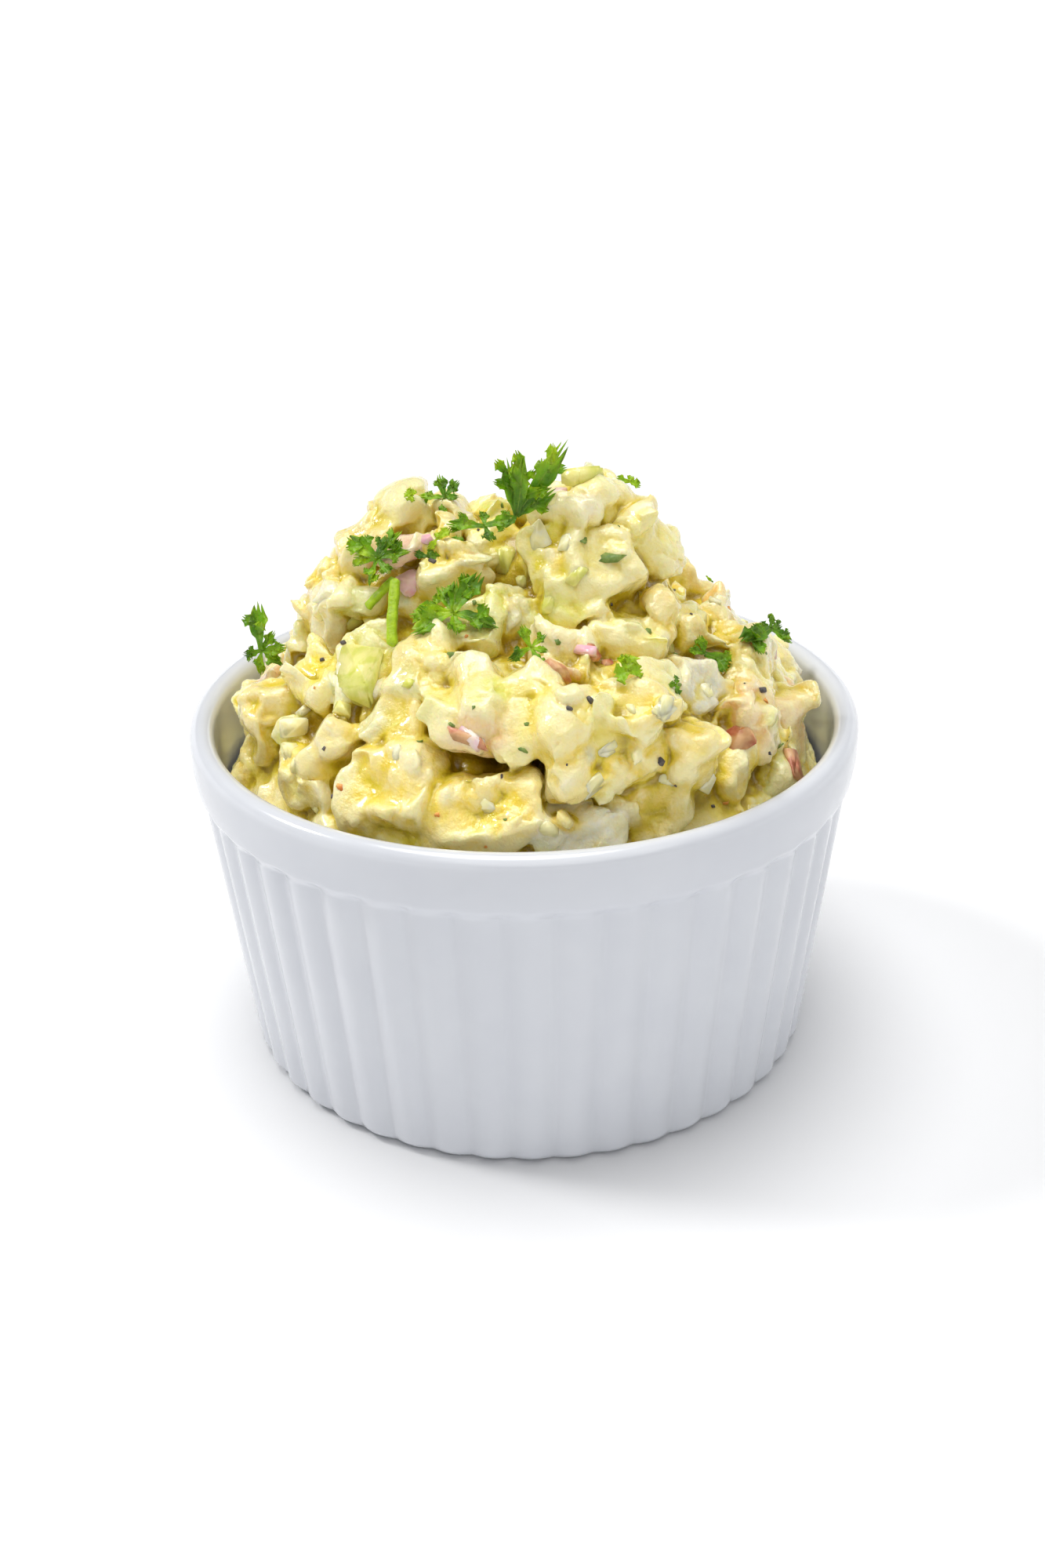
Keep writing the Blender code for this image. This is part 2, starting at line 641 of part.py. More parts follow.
def make_leaves(material, salad, dish):
    """Builds the parsley, each piece clear of the salad, the ramekin and the other leaves."""
    blockers = []
    for solid in (salad, dish):
        bm = bmesh.new()
        bm.from_mesh(solid.data)
        blockers.append(BVHTree.FromBMesh(bm))
        bm.free()
    shapes = []
    for name, place, facing, curl, lobes in BIG_LEAVES:
        shapes.append((name, place, facing, 0.0, leaf_points(lobed_outline(lobes), curl, 2)))
    for name, place, facing, turn, length, width in SMALL_LEAVES:
        shapes.append((name, place, facing, turn, leaf_points(strip_outline(length, width), 0.3, 1)))
    for name, place, facing, turn, layers in shapes:
        basis = facing_basis(facing, turn)
        start = Vector(place) * MM
        away = (SEEN_FROM - start).normalized() if abs(facing[0]) < 90 else basis.col[2]
        settled = settle(layers, basis, start, away, blockers)
        blockers.append(tree_of(layers, settled, 0.0))
        finish_object(name, leaf_mesh(layers, settled), material)


def build():
    """Builds the ramekin, the salad and its parsley."""
    clear_scene()
    glaze = make_material("glaze", (0.90, 0.91, 0.93), 0.12)
    dressing = make_material("dressed_potato", (0.90, 0.82, 0.45), 0.35)
    parsley = make_material("parsley", (0.10, 0.32, 0.03), 0.45)
    dish = make_dish(glaze)
    salad = make_salad(dressing)
    make_leaves(parsley, salad, dish)


build()
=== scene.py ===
"""Looks for the potato salad heaped in a white fluted ramekin.

Lengths are in metres unless a name or a comment says mm. +Z is up and the camera looks along +Y and down.
"""

import math
import random

import bmesh
import bpy
import numpy as np
from mathutils import Matrix, Vector
from mathutils.bvhtree import BVHTree


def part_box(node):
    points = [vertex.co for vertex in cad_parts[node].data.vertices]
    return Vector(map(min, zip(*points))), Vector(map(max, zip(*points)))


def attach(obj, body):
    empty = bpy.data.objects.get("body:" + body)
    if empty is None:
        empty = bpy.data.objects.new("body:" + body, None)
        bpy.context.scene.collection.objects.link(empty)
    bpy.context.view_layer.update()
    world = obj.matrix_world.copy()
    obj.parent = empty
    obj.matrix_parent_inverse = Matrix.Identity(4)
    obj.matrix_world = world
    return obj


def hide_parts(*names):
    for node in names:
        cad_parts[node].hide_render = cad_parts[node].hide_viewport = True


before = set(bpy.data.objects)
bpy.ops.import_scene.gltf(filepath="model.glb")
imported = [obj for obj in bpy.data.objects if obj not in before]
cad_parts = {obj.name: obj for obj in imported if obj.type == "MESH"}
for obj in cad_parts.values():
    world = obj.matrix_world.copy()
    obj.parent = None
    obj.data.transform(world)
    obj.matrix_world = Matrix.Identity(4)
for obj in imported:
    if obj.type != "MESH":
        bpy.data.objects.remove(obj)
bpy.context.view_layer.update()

MM = 0.001

# Ramekin, as in the solids
DISH_HEIGHT = 48.0 * MM
RIM_RADIUS = 45.0 * MM
LIP_INNER_RADIUS = 41.7 * MM
LIP_DROP = 1.8 * MM
BAND_BOTTOM = 40.2 * MM
REED_COUNT = 46
REED_DEPTH = 0.8 * MM
REED_TOP_RADIUS = 43.2 * MM
REED_BASE_RADIUS = 39.2 * MM
BASE_EDGE_HEIGHT = 2.6 * MM
BASE_EDGE_INSET = 1.7 * MM
FOOT_OUTER_RADIUS = 36.8 * MM
FOOT_INNER_RADIUS = 33.6 * MM
FOOT_RECESS = 1.0 * MM
INSIDE_TOP_RADIUS = 41.1 * MM
INSIDE_TOP_HEIGHT = 38.0 * MM
INSIDE_BASE_RADIUS = 37.2 * MM
CORNER_RADIUS = 5.0 * MM
FLOOR_HEIGHT = 4.0 * MM
REED_STEPS = 10

# Salad, as in the solids
CLEARANCE = 0.45 * MM
SALAD_SHOULDER_RADIUS = 38.4 * MM
SALAD_SHOULDER_HEIGHT = 41.5 * MM
MOUND_CENTRE = Vector((0.0, 0.0, 42.0)) * MM
FILLER_SPACING = 8.6 * MM
FILLER_SIZE = (6.5 * MM, 10.5 * MM)
FILLER_PROUD_MM = (-0.8, 1.3)
FILLER_CROWDING = 0.72
CRUMB_COUNT = 48
CRUMB_SIZE = (2.8 * MM, 4.8 * MM)
CRUMB_PROUD_MM = (0.2, 1.6)
PIECE_TILT_DEGREES = 14.0
PIECE_CORNER = (0.66, 0.92)
FACE_BULGE = 1.0
OVERHANG = 0.35
# The brown hollow at the lower front: longitude and latitude, and its clear span, in degrees
HOLLOW = (-7.0, 21.0)
HOLLOW_SPAN = 12.0
SEED = 7

# Salad, only here
CORE_SINK = 2.9 * MM
VOXEL = 0.38 * MM
SALAD_TRIANGLES = 192000
CUT_HEIGHT = 38.5 * MM
HOLLOW_DEPTH = 5.0 * MM
HOLLOW_CLEAR = 6.0 * MM
HOLLOW_SPREAD_DEGREES = (9.0, 7.0)
# Painted shade in the hollow: how far its brown reaches, and that brown, a brown piece's own colour darkened
# further as painted shade.
HOLLOW_SHADE_REACH = 5.6 * MM
HOLLOW_SHADED_BROWN = (0.52, 0.27, 0.015)
LUMP_COUNT = 330
LUMP_SIZE_MM = (1.3, 4.2)
LUMP_GRADE = 1.8
LUMP_SHARES = ((0.8, 1.4), (0.7, 1.1), (0.6, 1.0))
LUMP_LEAN = 0.5
LUMP_PROUD = (-0.34, 0.12)
BLOCK_STEPS = 8
BLOCK_POWER = (3.2, 5.6)
CRUMB_POWER = 3.0
CORE_COLUMNS = 96
CORE_ROWS = 30
WARP_COARSE = (5.2 * MM, 1.25 * MM)
WARP_FINE = (2.3 * MM, 0.55 * MM)
WARP_LOW = 43.5 * MM
WARP_HIGH = 49.0 * MM
LEAF_TOUCH = 0.1 * MM
LEAF_BITE = 0.2 * MM
SEAT_REACH = 1.2 * MM
UNCOVER_REACH = 2.2 * MM
UNCOVER_RISE = 0.3 * MM
UNCOVER_LIMIT = 1.1 * MM

# Relief, in mm where no MM stands: width and height of the swells on a block, how far apart rough
# places lie, and width and height of the skin's waves and grain
SWELLS = ((4.2, 0.9), (1.9, 0.35))
ROUGH_ZONE = 5.0
WAVE = (2.4, 0.2)
GRAIN = (1.7, 0.42)
FINE_GRAIN = (0.95, 0.27)
SMALL_WAVE = (0.85, 0.07)
BUMP_SHARE = 0.75
CREASE_ROUNDS = 24
CREASE_DEPTH = 0.55 * MM
SUNK_DEPTH = 4.0 * MM
LUMP_KINDS = ("cream", "potato", "egg", "cream", "onion", "potato", "golden", "egg", "cream", "celery")

# The rounded lumps that make up the mound's outline: centre and radii in mm.
MOUND_CLUMPS = (
    ((-0.3, 0.0, 42.0), (37.9, 38.0, 26.0)),
    ((8.2, -2.0, 63.0), (12.8, 13.2, 15.4)),
    ((-11.5, 1.0, 59.5), (14.5, 14.0, 14.8)),
    ((-4.5, 2.0, 63.0), (8.0, 9.0, 12.0)),
    ((7.0, -22.0, 50.0), (20.0, 13.0, 13.0)),
    ((4.0, 17.0, 54.0), (17.0, 14.0, 14.5)),
)

# Each placed piece: longitude, latitude, width, height and depth in mm, turn, how far it
# stands proud in mm, and what it is.
PLACED_PIECES = (
    # Lower front, left to right
    (-72, 14, 7, 11, 8, 5, 1.2, "potato"),
    (-50, 10, 10, 9, 8, 25, 0.6, "potato"),
    (-29, 13, 12.5, 11.5, 9, 8, 1.6, "potato"),
    (-25, 3, 11, 6, 6, -5, 0.2, "green_potato"),
    (-9, 11, 14, 9, 8, 12, 1.2, "potato"),
    (9, 7, 12, 6, 5, -8, 0.8, "white"),
    (25, 9, 9, 8, 7, 30, 0.6, "potato"),
    (34, 17, 9, 9, 8, -20, 1.2, "potato"),
    (58, 18, 8, 10, 8, 15, 1.0, "blush"),
    (76, 7, 8, 10, 7, 0, 0.6, "skin"),
    (84, 15, 9, 9, 8, 20, 0.4, "cream"),
    # Middle front
    (-45, 20, 5, 6, 5, 10, 0.6, "potato"),
    (-33, 24, 8, 7, 6, 40, -0.6, "potato"),
    (-15, 33, 11, 9, 8, -10, 2.2, "cream"),
    (-1, 31, 10, 9, 8, 35, 1.8, "green_potato"),
    (-12, 26, 7.5, 2.6, 5, 8, 2.2, "blush"),
    (11, 28, 11, 9, 8, 15, 2.4, "potato"),
    (21, 28, 10, 9, 8, -25, 2.4, "potato"),
    (16, 20, 13, 8, 8, 5, 2.2, "potato"),
    (49, 29, 8, 7, 6, 10, 0.8, "onion"),
    (74, 25, 10, 9, 8, 30, 0.8, "potato"),
    (-62, 28, 9, 7, 6, -15, 0.8, "yolk"),
    (-52, 36, 11, 7, 5, 60, 0.6, "celery"),
    (-29, 39, 8, 8, 7, 20, 1.2, "potato"),
    # Left hill
    (-74, 43, 11, 4, 4, 50, 0.9, "celery"),
    (-82, 41, 10, 9, 9, 10, 3.0, "cream"),
    (-104, 61, 12, 10, 8, 15, 1.8, "cream"),
    (-90, 54, 7, 7, 6, 5, 1.8, "tan"),
    (-68, 60, 5, 6, 3, 20, 0.8, "purple"),
    (-47, 67, 9, 8, 7, 35, 0.4, "potato"),
    # The scoop at the upper right, mostly cream pieces: the dressing's own colour, chosen pale also as
    # painted light for the brightly lit slope
    (61, 76, 12, 9, 7, 0, 0.8, "cream"),
    (72, 60, 8, 9, 7, 10, 1.0, "cream"),
    (40, 62, 10, 9, 7, -15, 0.6, "cream"),
    (44, 47, 11, 9, 8, 30, 1.6, "cream"),
    (56, 49, 5, 5, 5, 10, 3.2, "potato"),
    (24, 57, 9, 8, 7, 0, 0.8, "celery"),
    (-2, 63, 8, 7, 6, 20, 1.0, "onion"),
    (16, 47, 9, 7, 6, -20, 0.8, "cream"),
    (8, 41, 5, 4, 4, 0, 0.4, "skin"),
)

# The colour of each kind of piece
KIND_COLORS = {
    "potato": (0.89, 0.67, 0.08),
    "green_potato": (0.84, 0.72, 0.05),
    "cream": (0.96, 0.85, 0.37),
    "golden": (0.93, 0.70, 0.10),
    "yolk": (0.97, 0.76, 0.08),
    "egg": (0.97, 0.89, 0.52),
    "white": (0.96, 0.95, 0.82),
    "onion": (0.76, 0.75, 0.46),
    "celery": (0.74, 0.75, 0.17),
    "blush": (0.93, 0.60, 0.28),
    "skin": (0.78, 0.40, 0.12),
    "purple": (0.92, 0.50, 0.50),
    "tan": (0.84, 0.66, 0.32),
}
FILLER_KINDS = ("potato", "potato", "cream", "potato", "green_potato", "golden", "cream", "onion",
                "celery", "yolk")
CRUMB_KINDS = ("cream", "potato", "onion", "potato", "celery", "cream", "egg", "blush")

# Small things seen from the camera: pixel x and y of the 1333 x 2000 picture, and size in mm.
PEPPER_SEEN = (
    (438, 820, (0.9, 0.8, 0.7)), (411, 841, (0.7, 0.6, 0.5)), (726, 904, (0.9, 0.8, 0.6)),
    (753, 893, (1.1, 0.8, 0.6)), (842, 972, (1.1, 1.1, 0.9)), (973, 880, (1.2, 0.9, 0.7)),
    (841, 908, (0.7, 0.6, 0.4)), (860, 753, (0.6, 0.5, 0.4)), (780, 771, (0.6, 0.4, 0.4)),
    (424, 1016, (0.6, 0.5, 0.4)), (640, 990, (0.7, 0.4, 0.3)), (551, 716, (1.4, 0.8, 0.5)),
    (610, 676, (0.5, 0.5, 0.4)), (700, 641, (0.8, 0.5, 0.4)), (950, 872, (0.4, 0.3, 0.3)),
)
SPICE_SEEN = (
    (434, 1004, (1.4, 1.1, 0.6)), (926, 1025, (1.5, 1.0, 0.5)), (977, 893, (1.3, 0.9, 0.5)),
    (620, 1080, (0.7, 0.5, 0.4)), (595, 812, (0.8, 0.6, 0.4)), (946, 930, (1.2, 0.7, 0.4)),
)
HERB_SEEN = (
    (536, 946, (1.2, 0.7, 0.4)), (604, 902, (0.8, 0.6, 0.4)), (667, 957, (1.6, 0.8, 0.5)),
    (575, 835, (1.8, 1.0, 0.4)), (712, 818, (1.6, 0.9, 0.5)), (500, 770, (1.2, 0.6, 0.4)),
    (778, 712, (4.8, 1.6, 0.5)), (640, 645, (1.0, 0.6, 0.3)),
    (865, 873, (1.2, 1.0, 0.5)), (752, 560, (0.8, 0.6, 0.3)),
)
ONION_SEEN = (
    (776, 955, (3.4, 2.2, 1.6)), (758, 1005, (3.6, 2.6, 1.4)), (845, 990, (3.0, 3.4, 1.6)),
    (375, 925, (4.0, 3.2, 1.6)), (505, 960, (2.4, 1.6, 1.2)), (620, 1030, (3.0, 2.4, 1.4)),
    (700, 1062, (3.6, 2.4, 1.4)), (905, 1000, (3.0, 2.2, 1.4)), (720, 690, (3.0, 2.4, 1.2)),
    (686, 686, (4.4, 3.8, 2.2)), (905, 880, (3.6, 3.0, 1.8)), (845, 905, (3.0, 2.6, 1.6)),
)
PURPLE_SEEN = (
    (525, 744, (5.6, 4.8, 3.8)), (750, 829, (1.6, 4.0, 1.2)),
    (598, 938, (5.0, 2.2, 1.6)),
)
CELERY_SEEN = (
    (450, 795, (7.0, 2.6, 2.0)), (648, 712, (3.6, 4.6, 2.4)), (736, 735, (3.4, 2.0, 1.4)),
    (456, 860, (7.5, 9.0, 4.0)), (440, 905, (2.6, 2.0, 1.4)), (746, 605, (6.2, 3.2, 3.4)),
    (664, 742, (3.4, 2.6, 1.6)), (700, 770, (3.0, 2.0, 1.4)),
)
SKIN_SEEN = (
    (938, 944, (5.4, 4.2, 1.6)), (1012, 976, (5.0, 3.0, 1.2)), (711, 856, (4.4, 3.2, 1.4)),
    (596, 942, (6.0, 1.6, 1.0)), (757, 832, (1.6, 3.4, 1.0)),
)

# Each kind of small thing: name, slot, shape, material, places seen, how many more are spread over
# the heap, their smallest and largest width in mm, share of it in thickness, and how far of that
# the middle stands above the skin.
BIT_KINDS = (
    ("pepper", "dressed_potato", "chip", "pepper", PEPPER_SEEN, 16, 0.3, 0.7, 0.7, 0.0),
    ("spice", "dressed_potato", "flake", "spice", SPICE_SEEN, 8, 0.4, 1.0, 0.5, 0.1),
    ("herb_flecks", "parsley", "flake", "herb", HERB_SEEN, 26, 0.5, 1.5, 0.4, 0.1),
    ("onion_bits", "dressed_potato", "chip", "onion", ONION_SEEN, 12, 1.6, 3.4, 0.45, -0.26),
    ("egg_bits", "dressed_potato", "chip", "egg", (), 20, 1.3, 3.2, 0.7, -0.22),
    ("red_onion_bits", "dressed_potato", "chip", "red_onion", PURPLE_SEEN, 4, 1.6, 3.0, 0.45, -0.16),
    ("celery_bits", "dressed_potato", "chip", "celery", CELERY_SEEN, 8, 2.0, 4.0, 0.5, -0.15),
    ("skin_strips", "dressed_potato", "chip", "potato_skin", SKIN_SEEN, 4, 1.4, 2.6, 0.35, 0.0),
)

# Parsley leaves as in the solids: name, place in mm, longitude and latitude that the face looks to,
# curl, lobes (angle, length in mm), lightness.
BIG_LEAVES = (
    ("parsley_crown", (-0.4, -0.5, 73.9), (-6, 8), 0.35,
     ((-125, 1.6), (36, 6.0), (55, 11.6), (78, 8.2), (102, 7.2)), 0.45),
    ("parsley_hilltop", (-9.7, 2.5, 75.6), (-15, 30), 0.3,
     ((-90, 2.7), (0, 2.0), (58, 3.0), (110, 3.2), (186, 3.7)), 0.4),
    ("parsley_left_hill", (-18.3, -4.3, 69.8), (-25, 35), 0.5,
     ((-101, 3.9), (-37, 3.2), (29, 4.4), (62, 4.8), (90, 3.4), (151, 5.6), (186, 4.0)), 0.4),
    ("parsley_middle", (-8.5, -12.4, 65.3), (-10, 45), 0.5,
     ((-75, 3.6), (-9, 5.9), (66, 6.2), (95, 4.5), (127, 4.7), (177, 6.2), (205, 6.0)), 0.3),
    ("parsley_cleft", (-4.5, -5.0, 74.0), (0, 55), 0.4,
     ((-67, 2.6), (10, 4.4), (90, 2.8), (178, 5.0)), 0.3),
    ("parsley_front", (1.0, -19.7, 63.4), (5, 35), 0.4,
     ((-66, 3.1), (-17, 2.2), (40, 2.7), (114, 3.1), (203, 3.3)), 0.3),
    ("parsley_right", (22.9, -13.8, 59.6), (30, 35), 0.3,
     ((-28, 4.9), (90, 2.6), (146, 2.4)), 0.3),
    ("parsley_right_rim", (33.3, 1.0, 56.9), (50, 30), 0.3,
     ((-51, 3.8), (-6, 2.8), (37, 2.5), (134, 1.8), (182, 6.6)), 0.2),
    ("parsley_left_rim", (-35.3, 2.5, 54.7), (-20, 15), 0.4,
     ((-99, 3.6), (-39, 3.6), (4, 3.5), (59, 3.4), (103, 6.5), (200, 3.0)), 0.3),
    ("parsley_back_left", (-16.5, 19.5, 61.0), (215, 50), 0.5,
     ((-80, 4.0), (-20, 4.6), (40, 5.2), (90, 6.0), (150, 5.0), (210, 4.4)), 0.2),
    ("parsley_back_right", (16.0, 24.0, 63.0), (150, 45), 0.5,
     ((-95, 3.6), (-30, 4.2), (35, 5.4), (95, 5.2), (160, 4.8)), 0.3),
    ("parsley_back_low", (2.0, 34.0, 54.0), (180, 30), 0.4,
     ((-90, 3.0), (10, 4.4), (60, 4.8), (120, 4.6), (175, 4.0)), 0.2),
)

# Small cut pieces: name, place in mm, facing, turn, length and width in mm, lightness, stem or leaf.
SMALL_LEAVES = (
    ("parsley_stem_long", (-16.1, -10.3, 64.7), (-30, 40), 108, 9.0, 1.5, 1.0, "stem"),
    ("parsley_stem_short", (-17.7, -8.6, 66.6), (-35, 40), 62, 5.2, 1.3, 1.0, "stem"),
    ("parsley_chip_hill", (-10.4, -3.5, 72.0), (-20, 40), 55, 4.0, 1.3, 0.9, "leaf"),
    ("parsley_chip_low", (-11.7, -6.8, 70.8), (-15, 45), 0, 3.8, 1.6, 0.1, "leaf"),
    ("parsley_chip_mid", (-8.0, -4.2, 71.3), (-10, 40), 82, 2.8, 1.6, 0.5, "leaf"),
    ("parsley_chip_left", (-14.1, 5.6, 74.9), (-20, 30), 80, 1.9, 1.5, 0.8, "leaf"),
    ("parsley_chip_right", (14.1, 0.6, 77.7), (20, 40), -22, 3.5, 1.4, 0.4, "leaf"),
    ("parsley_curl_front", (12.6, -24.0, 61.8), (15, 45), 10, 4.0, 3.2, 0.9, "leaf"),
    ("parsley_curl_low", (18.4, -24.0, 59.9), (25, 30), 80, 2.7, 1.3, 0.2, "leaf"),
    ("parsley_chip_back", (-4.0, 30.0, 58.6), (190, 40), 30, 4.0, 1.6, 0.3, "leaf"),
    ("parsley_chip_back_high", (6.0, 16.0, 66.0), (170, 55), -40, 4.2, 1.8, 0.5, "leaf"),
    ("parsley_chip_back_side", (27.0, 14.0, 58.0), (120, 40), 70, 4.0, 1.5, 0.2, "leaf"),
)

# Shape of the leaves: thickness and wave in mm, droop per mm, and shares of a lobe's length
LEAF_THICKNESS = 0.36
LEAF_WAVE = 0.5
LEAF_WAVES = 3
LEAF_DROOP = 0.03
LOBE_SHOULDER = 0.82
WIDE_NOTCH = 0.4
NARROW_NOTCH = 0.6
BLADE_THICKNESS = 0.2

# Colours of the parsley
DARK_GREEN = (0.05, 0.15, 0.002)
MID_GREEN = (0.19, 0.40, 0.003)
LIME_GREEN = (0.45, 0.64, 0.01)
RIB_GREEN = (0.38, 0.52, 0.05)

# The camera that the photograph was taken from: pinhole at this eye, in mm and degrees.
CAMERA_EYE = (-0.35, -210.35, 141.98)
CAMERA_PITCH = 27.007
CAMERA_ROLL = -1.2
CAMERA_FOCAL_PIXELS = 2156.26
IMAGE_WIDTH = 1333
IMAGE_HEIGHT = 2000

# The floor is flat as far as the picture shows it, then slopes up to its edge.
FLOOR_SIDES = 64
FLOOR_RADIUS = 12.0
SWEEP_RADIUS = 18.5
SWEEP_HEIGHT = 3.7


def feed(tree, socket, value):
    """Links an output to a socket, or writes a plain number, vector or colour into it."""
    if isinstance(value, bpy.types.NodeSocket):
        tree.links.new(value, socket)
    else:
        socket.default_value = (*value, 1.0) if socket.type == "RGBA" else value


def feed_all(tree, node, **values):
    """Feeds a node's inputs by name."""
    for key, value in values.items():
        feed(tree, node.inputs[key.replace("_", " ")], value)


def new_material(name, roughness, color=(0.8, 0.8, 0.8), **sockets):
    """Returns a material, its node tree and its Principled shader."""
    material = bpy.data.materials.new(name)
    material.use_nodes = True
    tree = material.node_tree
    shader = tree.nodes["Principled BSDF"]
    feed_all(tree, shader, Base_Color=color, Roughness=roughness, **sockets)
    return material, tree, shader


def add_node(tree, kind, output, **values):
    """Adds a shader node, feeds its inputs and returns the output of that name."""
    node = tree.nodes.new("ShaderNode" + kind)
    feed_all(tree, node, **values)
    return node.outputs[output]


def noise_node(tree, scale, detail=3.0, roughness=0.55, distortion=0.0):
    """Adds noise on the object's own place; its features measure about one over its scale, in metres."""
    place = add_node(tree, "TexCoord", "Object")
    return add_node(tree, "TexNoise", "Fac", Vector=place, Scale=scale, Detail=detail,
                    Roughness=roughness, Distortion=distortion)


def range_node(tree, value, low, high, to_low, to_high):
    """Maps one range of numbers to another, clamped."""
    return add_node(tree, "MapRange", "Result", Value=value, From_Min=low, From_Max=high,
                    To_Min=to_low, To_Max=to_high)


def ramp_node(tree, factor, low_color, high_color):
    """Adds a colour ramp between two colours over the middle of a factor's range."""
    node = tree.nodes.new("ShaderNodeValToRGB")
    for element, position, color in zip(node.color_ramp.elements, (0.3, 0.7), (low_color, high_color)):
        element.position = position
        element.color = (*color, 1.0)
    feed(tree, node.inputs["Fac"], factor)
    return node.outputs["Color"]


def mix_colors(tree, factor, first, second, blend="MIX"):
    """Mixes two colours, each an output or a plain colour, by an output or a number."""
    node = tree.nodes.new("ShaderNodeMix")
    node.data_type = "RGBA"
    node.blend_type = blend
    colors = [socket for socket in node.inputs if socket.type == "RGBA"]
    for socket, value in ((node.inputs[0], factor), (colors[0], first), (colors[1], second)):
        feed(tree, socket, value)
    return [socket for socket in node.outputs if socket.type == "RGBA"][0]


def bump_node(tree, height, strength, distance, **under):
    """Adds a bump, on top of another bump's normal if one is given as Normal."""
    return add_node(tree, "Bump", "Normal", Height=height, Strength=strength, Distance=distance, **under)


def carried(tree, name, output):
    """Reads a colour (Color) or a number (Fac) that the mesh carries."""
    node = tree.nodes.new("ShaderNodeAttribute")
    node.attribute_name = name
    return node.outputs[output]


def glaze_material():
    """White stoneware glaze: faintly cool, glossy, with slight unevenness."""
    material, tree, shader = new_material("glaze", 0.14, (0.80, 0.81, 0.84), Subsurface_Weight=0.0,
                                          Coat_Weight=0.2, Coat_Roughness=0.06)
    mottle = noise_node(tree, 120.0, 2.0)
    feed_all(tree, shader, Base_Color=ramp_node(tree, mottle, (0.655, 0.675, 0.725), (0.68, 0.70, 0.745)),
             Roughness=range_node(tree, noise_node(tree, 260.0), 0.3, 0.7, 0.11, 0.19),
             Normal=bump_node(tree, noise_node(tree, 180.0, 2.0), 0.25, 0.00012))
    return material


def salad_material():
    """Boiled potato and its neighbours under a thin creamy dressing, with painted shade in creases and sunk
    places and painted highlight on ridges.
    """
    material, tree, shader = new_material("dressed_potato", 0.34, Subsurface_Weight=0.4,
                                          Subsurface_Scale=0.0016, Subsurface_Radius=(1.0, 0.65, 0.15),
                                          Coat_Weight=0.6, Coat_Roughness=0.07)
    depth = carried(tree, "depth", "Fac")
    cream = range_node(tree, noise_node(tree, 300.0, 4.0, 0.6, 0.6), 0.46, 0.6, 0.0, 0.42)
    grain = range_node(tree, noise_node(tree, 1500.0, 3.0, 0.6), 0.4, 0.7, 0.0, 0.25)
    # Painted shade: sunk and creased places, by the carried depth, turn a deeper yellow and brown; painted
    # highlight: ridges turn paler.
    sunk_shade = range_node(tree, depth, 0.32, 0.66, 0.0, 0.9)
    deep = range_node(tree, depth, 0.58, 1.0, 0.0, 1.0)
    peak_highlight = range_node(tree, depth, 0.2, 0.0, 0.0, 0.4)
    color = carried(tree, "tint", "Color")
    for share, over in ((cream, (0.95, 0.86, 0.47)), (grain, (0.90, 0.66, 0.07)), (sunk_shade, (0.75, 0.59, 0.018)),
                        (deep, (0.40, 0.26, 0.005)), (peak_highlight, (0.95, 0.90, 0.63))):
        color = mix_colors(tree, share, color, over)
    coarse = bump_node(tree, noise_node(tree, 750.0, 4.0, 0.6), 0.6, 0.0005)
    feed_all(tree, shader, Base_Color=color,
             Roughness=range_node(tree, noise_node(tree, 420.0), 0.35, 0.65, 0.12, 0.34),
             Normal=bump_node(tree, noise_node(tree, 2600.0, 2.0, 0.5), 0.45, 0.00016, Normal=coarse))
    return material


def bit_material(name, color, deep, roughness, scale, subsurface=0.25, coat=0.0):
    """A wet piece of vegetable: two tones of one colour, part coated in dressing, with fine relief."""
    material, tree, shader = new_material(name, roughness, color, Subsurface_Weight=subsurface,
                                          Subsurface_Scale=0.001, Subsurface_Radius=(1.0, 0.8, 0.5))
    tone = range_node(tree, noise_node(tree, scale, 4.0, 0.6), 0.35, 0.68, 0.0, 1.0)
    cover = range_node(tree, noise_node(tree, 380.0, 3.0, 0.55, 0.5), 0.42, 0.56, 0.0, coat)
    feed_all(tree, shader,
             Base_Color=mix_colors(tree, cover, mix_colors(tree, tone, color, deep), (0.95, 0.85, 0.38)),
             Normal=bump_node(tree, noise_node(tree, scale * 3.0), 0.4, 0.0002))
    return material


def parsley_material():
    """Fresh leaf: dark green to lime with paler ribs, softly shiny and lit through."""
    material, tree, shader = new_material("parsley", 0.38, MID_GREEN, Subsurface_Weight=0.35,
                                          Subsurface_Scale=0.0008, Subsurface_Radius=(0.6, 1.0, 0.15),
                                          Specular_IOR_Level=0.3)
    own = carried(tree, "tint", "Color")
    tone = range_node(tree, noise_node(tree, 900.0, 4.0, 0.6), 0.35, 0.65, 0.0, 0.6)
    shade = mix_colors(tree, 1.0, own, (0.55, 0.62, 0.5), "MULTIPLY")
    feed_all(tree, shader, Base_Color=mix_colors(tree, tone, own, shade),
             Roughness=range_node(tree, noise_node(tree, 1300.0, 2.0), 0.35, 0.65, 0.25, 0.45),
             Normal=bump_node(tree, noise_node(tree, 2400.0), 0.6, 0.00022))
    return material


